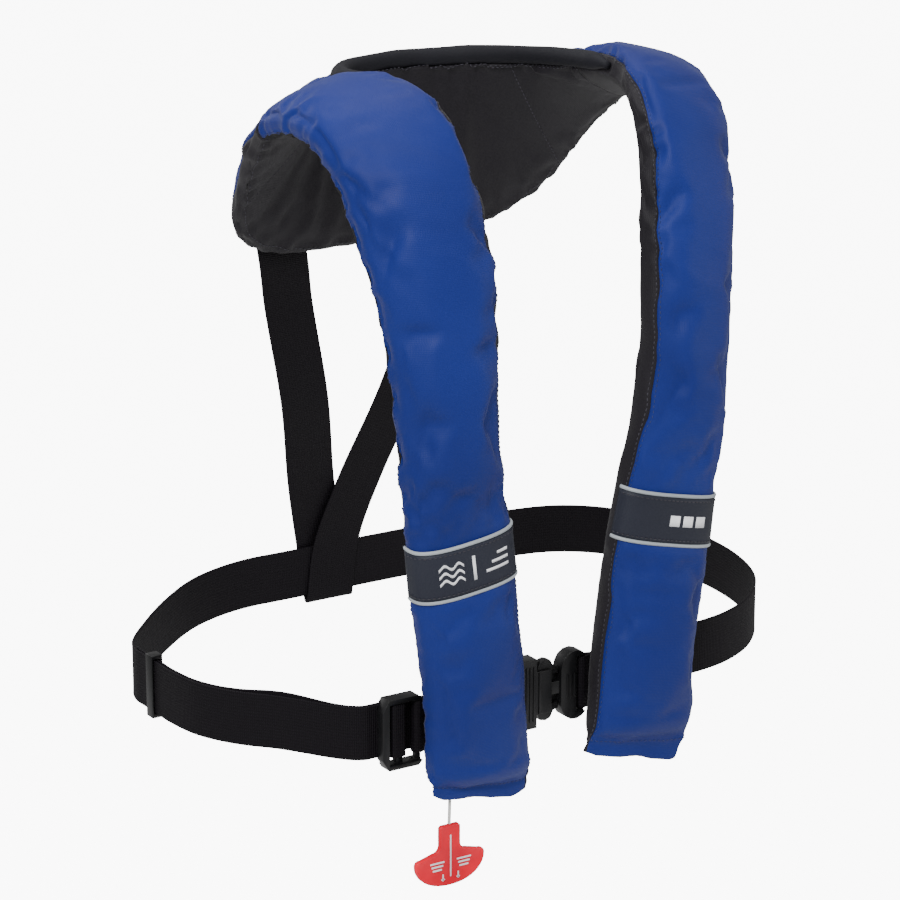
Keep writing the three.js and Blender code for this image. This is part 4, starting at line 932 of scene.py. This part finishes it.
class PullTabOperator(bpy.types.Operator):
    """Lanyard and red pull tab"""

    bl_idname = "jacket.pull_tab"
    bl_label = "Pull tab"

    TOP = -461 * MM
    HALF_WIDTH = 27.2 * MM
    HEIGHT = 43.6 * MM
    STEM = 8 * MM  # half width of the stem, and below it its length and the fillet at its foot
    STEM_LENGTH = 14 * MM
    FILLET = 5 * MM
    TIP = 3.6 * MM  # radius of a fluke's tip, and where its lower edge starts
    TIP_BOTTOM = 25.5 * MM
    THICK = 4 * MM
    EDGE = 0.9 * MM
    LANYARD = (-89, -141.8)  # in millimetres, straight down from the lever
    PLACE = Vector((-89 * MM, -141.2 * MM, 0))
    LANYARD_RADIUS = 1.1 * MM

    def lanyard_route(self):
        x, y = self.LANYARD
        return np.array([
            (x, y, -408.4), (x, y, -416), (x + 0.2, y + 0.2, -426), (x + 0.5, y + 0.4, -436),
            (x + 0.5, y + 0.6, -446), (x + 0.2, y + 0.6, -456), (x, y + 0.6, -460.7),
        ]) * MM

    def outline(self):
        """The right half from the stem's top round the fluke to the bottom."""
        stem, foot, fillet = self.STEM, -self.STEM_LENGTH, self.FILLET
        points = [(stem - 1.5 * MM, 0), (stem, -1.5 * MM), (stem, foot)]
        for step in range(1, 6):
            angle = radians(180 + 90 * step / 5)
            points.append((stem + fillet + fillet * cos(angle), foot + fillet * sin(angle)))
        tip, low = self.TIP, -self.TIP_BOTTOM
        centre = (self.HALF_WIDTH - tip, -21.6 * MM - tip)
        for step in range(7):
            angle = radians(100 - 110 * step / 6)
            points.append((centre[0] + tip * cos(angle), centre[1] + tip * sin(angle)))
        for step in range(1, 11):
            angle = pi / 2 * step / 10
            across = self.HALF_WIDTH * cos(angle) ** 0.9
            points.append((across, low - (self.HEIGHT - self.TIP_BOTTOM) * sin(angle)))
        return points

    def plate(self):
        right = self.outline()
        bm = bmesh.new()
        face = bm.faces.new([
            bm.verts.new((x, -self.THICK / 2, self.TOP + z))
            for x, z in right + [(-x, z) for x, z in reversed(right[:-1])]
        ])
        made = bmesh.ops.extrude_face_region(bm, geom=[face])
        moved = [v for v in made["geom"] if isinstance(v, bmesh.types.BMVert)]
        bmesh.ops.translate(bm, verts=moved, vec=(0, self.THICK, 0))
        bmesh.ops.recalc_face_normals(bm, faces=bm.faces)
        rim = [e for e in bm.edges if e.calc_face_angle(0) > radians(60)]
        bevelled(bm, rim, self.EDGE, 3)
        large = 2e-4  # square metres: only the front and the back face are larger
        for side in [f for f in bm.faces if f.calc_area() > large]:
            bmesh.ops.inset_individual(bm, faces=[side], thickness=1.6 * MM, depth=-0.5 * MM)
        bmesh.ops.translate(bm, verts=bm.verts, vec=self.PLACE)
        return bm

    def marks(self):
        """Plain lines and arrows, in millimetres from the middle of the tab's top edge."""
        bm = bmesh.new()
        front = self.PLACE.y - self.THICK / 2 - 0.05 * MM

        def bar(x, z, width, height):
            for vert in bmesh.ops.create_cube(bm, size=1)["verts"]:
                vert.co = Vector((
                    self.PLACE.x + x * MM + vert.co.x * width * MM,
                    front + vert.co.y * 0.5 * MM,
                    self.TOP + z * MM + vert.co.z * height * MM,
                ))

        for side in (-1, 1):
            for row in range(3):
                bar(side * 10.5, -25.5 - 2.6 * row, 11 - 2 * row, 1.1)
            bar(side * 6, -36.6, 0.9, 4.2)
            for row in range(3):
                bar(side * 6, -38.2 - 0.45 * row, 2.7 - 0.9 * row, 0.5)
        bar(0, -22, 0.9, 30)
        return bm

    def execute(self, context):
        line = through(self.lanyard_route(), 8)
        lanyard = tube("lanyard_cord", line, self.LANYARD_RADIUS, np.array([0.0, 1.0, 0.0]))
        finish_piece(lanyard, "cord", "pull", replaced=("lanyard",))
        tab = piece_from(self.plate(), "jerk_tab", 30)
        finish_piece(tab, "red_plastic", "pull", replaced=("pull_tab",))
        marks = finish_piece(piece_from(self.marks(), "tab_marks", 30), "print", "pull")
        return {"FINISHED"}


class CoversOperator(bpy.types.Operator):
    """Blue covers, dark body side and closure tapes of the shoulder strip"""

    bl_idname = "jacket.covers"
    bl_label = "Covers"

    NECK_SEAM = 161  # degrees round the section where the blue cloth meets the dark side
    BACK_NECK_SEAM = 192
    YOKE_FROM = 34  # past the shoulder the lining wraps round the arm edge
    UPRIGHT_SEAM = 12.4

    def sew(self, name, ends, angles, material, node, fill):
        """A piece of cloth between two stations and two angles of the strip."""
        piece = skin(name, ends, angles, self.cloth)
        finish_piece(piece, material, replaced=(node,))

    def lobe(self, side):
        seam, closure = self.NECK_SEAM, 360 + CLOSURE_FROM
        ends = (on_side(side, 0), on_side(side, SHOULDER_SEAM))
        for part, angles, material, node, fill in (
            ("cover", (FRONT_FROM, seam), "nylon", "front_cover", 0.45),
            ("lining", (seam, closure), "lining", "body_panel", 0.3),
            ("closure", (CLOSURE_FROM, FRONT_FROM), "hook_tape", "closure_tape", 0.2),
        ):
            self.sew(f"{side}_lobe_{part}", ends, angles, material, f"{side}_{node}", fill)
        for row in range(2):
            station = on_side(side, HEM + 0.05 * row)
            path, out = seam_across(station, (FRONT_FROM + 4, seam - 4))
            stitches(f"{side}_hem_stitches_{row}", path, out, "thread", self.stitch)
        inner = (on_side(side, HEM), ends[1])
        for label, angle, thread in (
            ("front", seam - 5, "thread"),
            ("side", seam + 5, "dark_thread"),
            ("arm", FRONT_FROM + 6, "thread"),
        ):
            path, out = seam_along(inner, angle)
            stitches(f"{side}_{label}_seam_stitches", path, out, thread, self.stitch)

    def yoke(self):
        ends = (SHOULDER_SEAM, LAST - SHOULDER_SEAM)
        wrapped, seam = self.YOKE_FROM, self.BACK_NECK_SEAM
        self.sew("back_yoke_cover", ends, (wrapped, seam), "nylon", "back_cover", 0.3)
        self.sew("back_yoke_lining", ends, (seam, 360 + wrapped), "lining", "back_lining", 0.3)
        inner_hem = 360 + FRONT_FROM - 9
        for label, angle, thread in (
            ("hem_outer", wrapped + 6, "thread"),
            ("hem_inner", inner_hem, "dark_thread"),
            ("neck_inner", seam + 10, "dark_thread"),
        ):
            path, out = seam_along(ends, angle)
            stitches(f"yoke_{label}_stitches", path, out, thread, self.stitch)
        for number, station in enumerate((self.UPRIGHT_SEAM, LAST - self.UPRIGHT_SEAM)):
            path, out = seam_across(station, (seam + 12, inner_hem))
            stitches(f"yoke_upright_stitches_{number}", path, out, "dark_thread", self.stitch)

    def execute(self, context):
        global BILLOW
        BILLOW = simulate_strip()
        sizes = context.scene.jacket_sizes
        self.cloth, self.stitch = sizes.cloth, sizes.stitch
        for side in ("right", "left"):
            self.lobe(side)
        self.yoke()
        return {"FINISHED"}


class BladderOperator(bpy.types.Operator):
    """Folded bladder inside the covers"""

    bl_idname = "jacket.bladder"
    bl_label = "Bladder"

    INWARD = 2.2 * MM  # keeps it clear of the hollows of the cloth round it
    FOLD = 1.0 * MM

    def execute(self, context):
        bm = merged_copy("bladder")
        bmesh.ops.triangulate(bm, faces=[f for f in bm.faces if len(f.verts) > 4])
        bmesh.ops.subdivide_edges(bm, edges=bm.edges[:], cuts=1, use_grid_fill=True)
        bmesh.ops.smooth_vert(
            bm, verts=bm.verts, factor=0.35, use_axis_x=True, use_axis_y=True, use_axis_z=True
        )
        bm.normal_update()
        for vert in bm.verts:
            fold = noise.noise(Vector((vert.co.x * 90, vert.co.y * 90, vert.co.z * 25)))
            vert.co += vert.normal * (min(fold, 0.0) * self.FOLD - self.INWARD)
        piece = piece_from(bm, "folded_bladder")
        finish_piece(piece, "bladder", replaced=("bladder",))
        return {"FINISHED"}


class NeckRollOperator(bpy.types.Operator):
    """Soft neoprene roll round the neckline"""

    bl_idname = "jacket.neck_roll"
    bl_label = "Neck roll"

    ENDS = (10, LAST - 10)
    BESIDE = 3.4 * MM  # the roll's middle, past the neck edge that it is sewn to

    def execute(self, context):
        radius = context.scene.jacket_sizes.roll
        s = np.linspace(*self.ENDS, 180)
        middle, across, out, half = strip_frame(s)
        path = middle - across * (half + self.BESIDE)
        from_end = np.minimum(s - self.ENDS[0], self.ENDS[1] - s)
        taper = 0.45 + 0.55 * smooth(from_end, 0, 0.5)
        path += across * ((1 - taper) * 5 * MM)[:, None]
        ripple = np.array([noise.noise(Vector((v * 1.7, 0, 5))) for v in s]) * 0.35 * MM
        roll = tube("neck_roll_cover", path, radius * taper - 0.2 * MM + ripple, out, 20, 0.93)
        finish_piece(roll, "neoprene", replaced=("neck_roll",))
        path, normal = seam_along(self.ENDS, 206, count=300)
        stitches("neck_roll_stitches", path, normal)
        return {"FINISHED"}


class BandsOperator(bpy.types.Operator):
    """Dark bands with bright piping and plain printed marks"""

    bl_idname = "jacket.bands"
    bl_label = "Bands"

    EDGES = (-13, 176)
    OUT = 1.7 * MM
    BAND_HEIGHT = 38  # millimetres
    PIPING_BESIDE, STITCH_INSIDE = 0.025, 0.035  # stations from the band's edge

    def stroke(self, name, side, x_ends, height_at, width):
        """A printed line on a band: x in millimetres from its middle, height as a share of it."""
        x = np.linspace(*x_ends, 24)
        angle = np.degrees(np.arccos(np.clip(np.sign(x) * np.abs(x / 40) ** 1.3, -1, 1)))
        share = np.array([height_at(value) for value in x])
        low, high = BAND_STATIONS
        grown = self.OUT + 0.35 * MM
        edges = [share + edge * width / self.BAND_HEIGHT for edge in (-0.5, 0.5)]
        rows = [on_strip(on_side(side, low + (high - low) * edge), angle, grown) for edge in edges]
        points, normals = (np.stack(part) for part in zip(*rows))
        piece = piece_from(sheet_mesh(points, points[..., :2], normals), name)
        thicken(piece, 0.5 * MM)
        finish_piece(piece, "print")

    def band(self, side, radius):
        low, high = BAND_STATIONS
        ends = (on_side(side, low), on_side(side, high))
        band = skin(f"{side}_band", ends, self.EDGES, 1.2 * MM, grown=self.OUT, folds=False)
        finish_piece(band, "band", replaced=(f"{side}_reflective_band",))
        first, last = self.EDGES
        long_edges = (("top", high, 1), ("bottom", low, -1))
        for label, edge, away in long_edges:
            a = np.linspace(first, last, 60)
            station = on_side(side, edge + away * self.PIPING_BESIDE)
            path, normal = on_strip(np.full_like(a, station), a, 1.1 * MM)
            piping = tube(f"{side}_piping_{label}", path, radius, normal, 10, 0.8)
            node = f"{side}_band_piping_{label}"
            finish_piece(piping, "piping", replaced=(node,))
        for label, edge, away in long_edges:
            a = np.linspace(first + 4, last - 4, 80)
            station = on_side(side, edge - away * self.STITCH_INSIDE)
            path, normal = on_strip(np.full_like(a, station), a, self.OUT + 0.2 * MM)
            stitches(f"{side}_band_stitches_{label}", path, normal)

    def execute(self, context):
        for side in ("right", "left"):
            self.band(side, context.scene.jacket_sizes.piping)
        line = 2.2
        for row in range(3):
            height = 0.36 + 0.16 * row
            self.stroke(
                f"wave_mark_{row}", "right", (9, 27),
                lambda x, height=height: height + 0.05 * sin(x * 0.62), line,
            )
            self.stroke(
                f"dash_mark_{row}", "right", (-27, -8 - 5 * row), lambda x, height=height: height, line
            )
            self.stroke(
                f"tally_mark_{row}", "left", (-5 + 11 * row, 3 + 11 * row), lambda x: 0.5, 9
            )
        self.stroke("upright_mark", "right", (0, line), lambda x: 0.52, 20)
        return {"FINISHED"}


class WebbingOperator(bpy.types.Operator):
    """Waist belt, its sewn ends, loops and the back strap"""

    bl_idname = "jacket.webbing"
    bl_label = "Webbing"

    UP = np.array([0.0, 0.0, 1.0])
    SOCKET_BAR = (BUCKLE_X - 45, BUCKLE_X - 41)
    PLUG_BAR = (BUCKLE_X + 23.5, BUCKLE_X + 27)
    INNER_BAR = (ADJUSTER_X + 5.5, ADJUSTER_X + 9)
    LAYER = 1.05  # from the middle of two sewn layers to the middle of each
    EYE = BAR_HALF_DEPTH + CLEAR + LAYER
    PLUG_THICK = 1.9 * MM
    STRAP_WIDTH = 39.2 * MM
    STRAP_X, STRAP_HEM, STRAP_FOLD = 76, 104.2, -407.6  # where the strap is sewn, and its fold
    STRAP_CLEAR = 2.3

    def upright(self, name, plan, lift=0.0, thick=WEB_THICK):
        return web(name, belt_path(plan, lift), self.UP, thick=thick)

    def eye(self, bar, opens):
        """Half a loop of webbing round a bar, open towards +1 or -1 along X."""
        middle = (bar[0] + bar[1]) / 2
        half = (bar[1] - bar[0]) / 2 + CLEAR + HALF_THICK
        angle = np.radians(np.linspace(90, 270, 13))
        return np.column_stack([
            middle + opens * (half * 0.9 * np.cos(angle)), BELT_FRONT + self.EYE * np.sin(angle)
        ])

    def front_web(self):
        left, right = self.eye(self.INNER_BAR, 1), self.eye(self.SOCKET_BAR, -1)
        xs = (self.INNER_BAR[1] + 7, self.SOCKET_BAR[0] - 7)
        near, far = ([(x, BELT_FRONT + y) for x in xs] for y in (-self.LAYER, self.LAYER))
        outer = through(np.vstack([left[6:], near, right[:7][::-1]]), 5)
        inner = through(np.vstack([left[:7][::-1], far, right[6:]]), 5)
        front = self.upright("front_web_outer", outer)
        finish_piece(front, "webbing", replaced=("front_web",))
        finish_piece(self.upright("front_web_inner", inner), "webbing")

    def plug_web(self):
        eye, bar_end = self.eye(self.PLUG_BAR, 1), self.PLUG_BAR[1]
        long = [
            (bar_end + 7, BELT_FRONT - self.LAYER), (bar_end + 16, BELT_FRONT - 0.2),
            (BELT_END - 6, BELT_FRONT), (BELT_END + 20, BELT_FRONT),
        ]
        short = [(bar_end + step, BELT_FRONT + self.LAYER) for step in (7, 12)]
        outer = through(np.vstack([eye[6:], long]), 5)
        inner = through(np.vstack([eye[:7][::-1], short]), 5)
        piece = self.upright("plug_web_outer", outer, thick=self.PLUG_THICK)
        finish_piece(piece, "webbing", "plug", replaced=("plug_web",))
        piece = self.upright("plug_web_inner", inner, thick=self.PLUG_THICK)
        finish_piece(piece, "webbing", "plug")

    def back_strap(self):
        hem, fold_height, clear = self.STRAP_HEM, self.STRAP_FOLD, self.STRAP_CLEAR
        outside, inside = BELT_BACK + clear, BELT_BACK - clear
        down = [
            (-78, hem, -88), (-74, hem, -116), (-70.5, hem + 2.5, -131), (-63, hem + 11, -160),
            (-41, 132, -240), (-20, 161, -313), (-6, outside, -366), (0, outside, fold_height),
        ]
        up = [(-x, y - 2 * clear + 0.8 if z < -300 else y, z) for x, y, z in down[:-1]][::-1]
        up[0] = (up[0][0], inside, up[0][2])
        fold = [
            (0, BELT_BACK + clear * cos(radians(d)), fold_height + clear * sin(radians(d)))
            for d in (-30, -60, -90, -120, -150)
        ]
        run_down, run_up = through(down, 8), through([(0, inside, fold_height), *up], 8)
        path = np.vstack([run_down, fold, run_up]) * MM
        strap = web("back_strap_webbing", path, np.array([1.0, 0.0, 0.0]), self.STRAP_WIDTH)
        finish_piece(strap, "webbing", replaced=("back_strap",))
        for number, side in enumerate((-1, 1)):
            self.box_stitch(f"strap_box_stitch_{number}", side * self.STRAP_X, hem + 1.3, -101)

    def box_stitch(self, name, x, y, z):
        """A square of stitches with a cross in it."""
        half = 11
        signs = [(-1, -1), (1, -1), (1, 1), (-1, 1), (-1, -1), (1, 1), (1, -1), (-1, 1)]
        path = np.array([(x + a * half, y, z + b * half) for a, b in signs]) * MM
        stitches(name, path, np.tile([0.0, 1.0, 0.0], (len(path), 1)))

    def execute(self, context):
        line, lift = belt_line()
        belt = self.upright("waist_belt_webbing", line, lift)
        finish_piece(belt, "webbing", replaced=("waist_belt",))
        self.front_web()
        self.plug_web()
        self.back_strap()
        stop = through([(ADJUSTER_X + x, BELT_FRONT + 6) for x in (12, -2.3)], 8)
        finish_piece(self.upright("adjuster_stop", stop), "webbing")
        for side in ("right", "left"):
            rounded_part(f"{side}_belt_loop", f"{side}_lobe_loop", 0.5 * MM, "hook_tape")
        return {"FINISHED"}


class HardwareOperator(bpy.types.Operator):
    """Buckle, adjuster and keeper"""

    bl_idname = "jacket.hardware"
    bl_label = "Buckle and adjuster"

    SMALL_EDGE = 0.6 * MM

    def ribs(self, name, body, xs, z_half, z_middle, face, size=(1.5, 1.1)):
        """Raised grip ribs on a moulded face."""
        bm = bmesh.new()
        for x in xs:
            for vert in bmesh.ops.create_cube(bm, size=1)["verts"]:
                vert.co = Vector((
                    (x + vert.co.x * size[0]) * MM,
                    (face + vert.co.y * size[1]) * MM,
                    z_middle + vert.co.z * 2 * z_half * MM,
                ))
        bevelled(bm, bm.edges[:], 0.35 * MM, 2)
        finish_piece(piece_from(bm, name, 40), "black_plastic", body)

    def execute(self, context):
        edge = context.scene.jacket_sizes.edge
        for node, name, body, rounding in (
            ("buckle_socket", "socket_moulding", "root", edge),
            ("buckle_plug", "plug_moulding", "plug", edge),
            ("prong_upper", "upper_prong_moulding", "prong_upper", self.SMALL_EDGE),
            ("prong_lower", "lower_prong_moulding", "prong_lower", self.SMALL_EDGE),
            ("belt_adjuster", "adjuster_moulding", "root", edge),
            ("belt_keeper", "keeper_moulding", "belt_keeper", self.SMALL_EDGE),
        ):
            rounded_part(node, name, rounding, body=body)
        height = BELT_HEIGHT - BUCKLE_SAG
        front = BELT_FRONT - 6
        grips = [BUCKLE_X - 28.5 + 3 * k for k in range(5)]
        self.ribs("socket_ribs", "root", grips, 20, height, front)
        self.ribs("socket_lip", "root", [BUCKLE_X - 11.5], 15, height, front, (2.4, 1.4))
        grips = [BUCKLE_X + 11 + 3 * k for k in range(3)]
        self.ribs("plug_ribs", "plug", grips, 9, height, front + 0.5)
        self.ribs("plug_tongue", "plug", [BUCKLE_X + 1.5], 14, height, BELT_FRONT + 1, (9, 1.6))
        return {"FINISHED"}


class InflatorOperator(bpy.types.Operator):
    """Inflator, cylinder and oral tube inside the lobes"""

    bl_idname = "jacket.inflator"
    bl_label = "Inflator and oral tube"

    KEPT = {
        "lever_pin": "steel", "gas_cylinder": "steel", "neck_washer": "rubber",
        "firing_pin": "steel", "firing_spring": "steel", "soluble_bobbin": "white_plastic",
        "oral_poppet": "white_plastic", "oral_tube": "rubber", "bladder_stem": "black_plastic",
        "stem_nut": "black_plastic", "oral_flange": "black_plastic", "oral_valve": "black_plastic",
    }

    def execute(self, context):
        for node, material in self.KEPT.items():
            cad_finish(node, material)
        rounded_part("inflator_body", "inflator_moulding", 0.7 * MM)
        rounded_part("manual_lever", "lever_moulding", 0.4 * MM, "red_plastic", "lever")
        rounded_part("bobbin_cap", "bobbin_cap_moulding", 0.4 * MM, body="bobbin_cap")
        rounded_part("oral_cap", "oral_cap_moulding", 0.5 * MM, "red_plastic", "oral_cap")
        return {"FINISHED"}


class JacketPanel(bpy.types.Panel):
    """Sizes, colours and pieces of the life jacket"""

    bl_idname = "VIEW3D_PT_life_jacket"
    bl_label = "Life jacket"
    bl_space_type = "VIEW_3D"
    bl_region_type = "UI"
    bl_category = "Life jacket"

    def draw(self, context):
        for group in (context.scene.jacket_sizes, context.scene.jacket_colours):
            for name in group.__annotations__:
                self.layout.prop(group, name)
        for operator in OPERATORS:
            self.layout.operator(operator.bl_idname)


OPERATORS = [
    StageOperator, PullTabOperator, CoversOperator, BladderOperator, NeckRollOperator,
    BandsOperator, WebbingOperator, HardwareOperator, InflatorOperator,
]
CLASSES = [JacketSizes, JacketColours, *OPERATORS, JacketPanel]


def register():
    for kind in CLASSES:
        bpy.utils.register_class(kind)
    bpy.types.Scene.jacket_sizes = bpy.props.PointerProperty(type=JacketSizes)
    bpy.types.Scene.jacket_colours = bpy.props.PointerProperty(type=JacketColours)


def unregister():
    del bpy.types.Scene.jacket_sizes
    del bpy.types.Scene.jacket_colours
    for kind in reversed(CLASSES):
        bpy.utils.unregister_class(kind)


def main():
    register()
    make_materials(bpy.context.scene.jacket_colours)
    for operator in OPERATORS:
        group, name = operator.bl_idname.split(".")
        getattr(getattr(bpy.ops, group), name)()


if __name__ == "__main__":
    main()
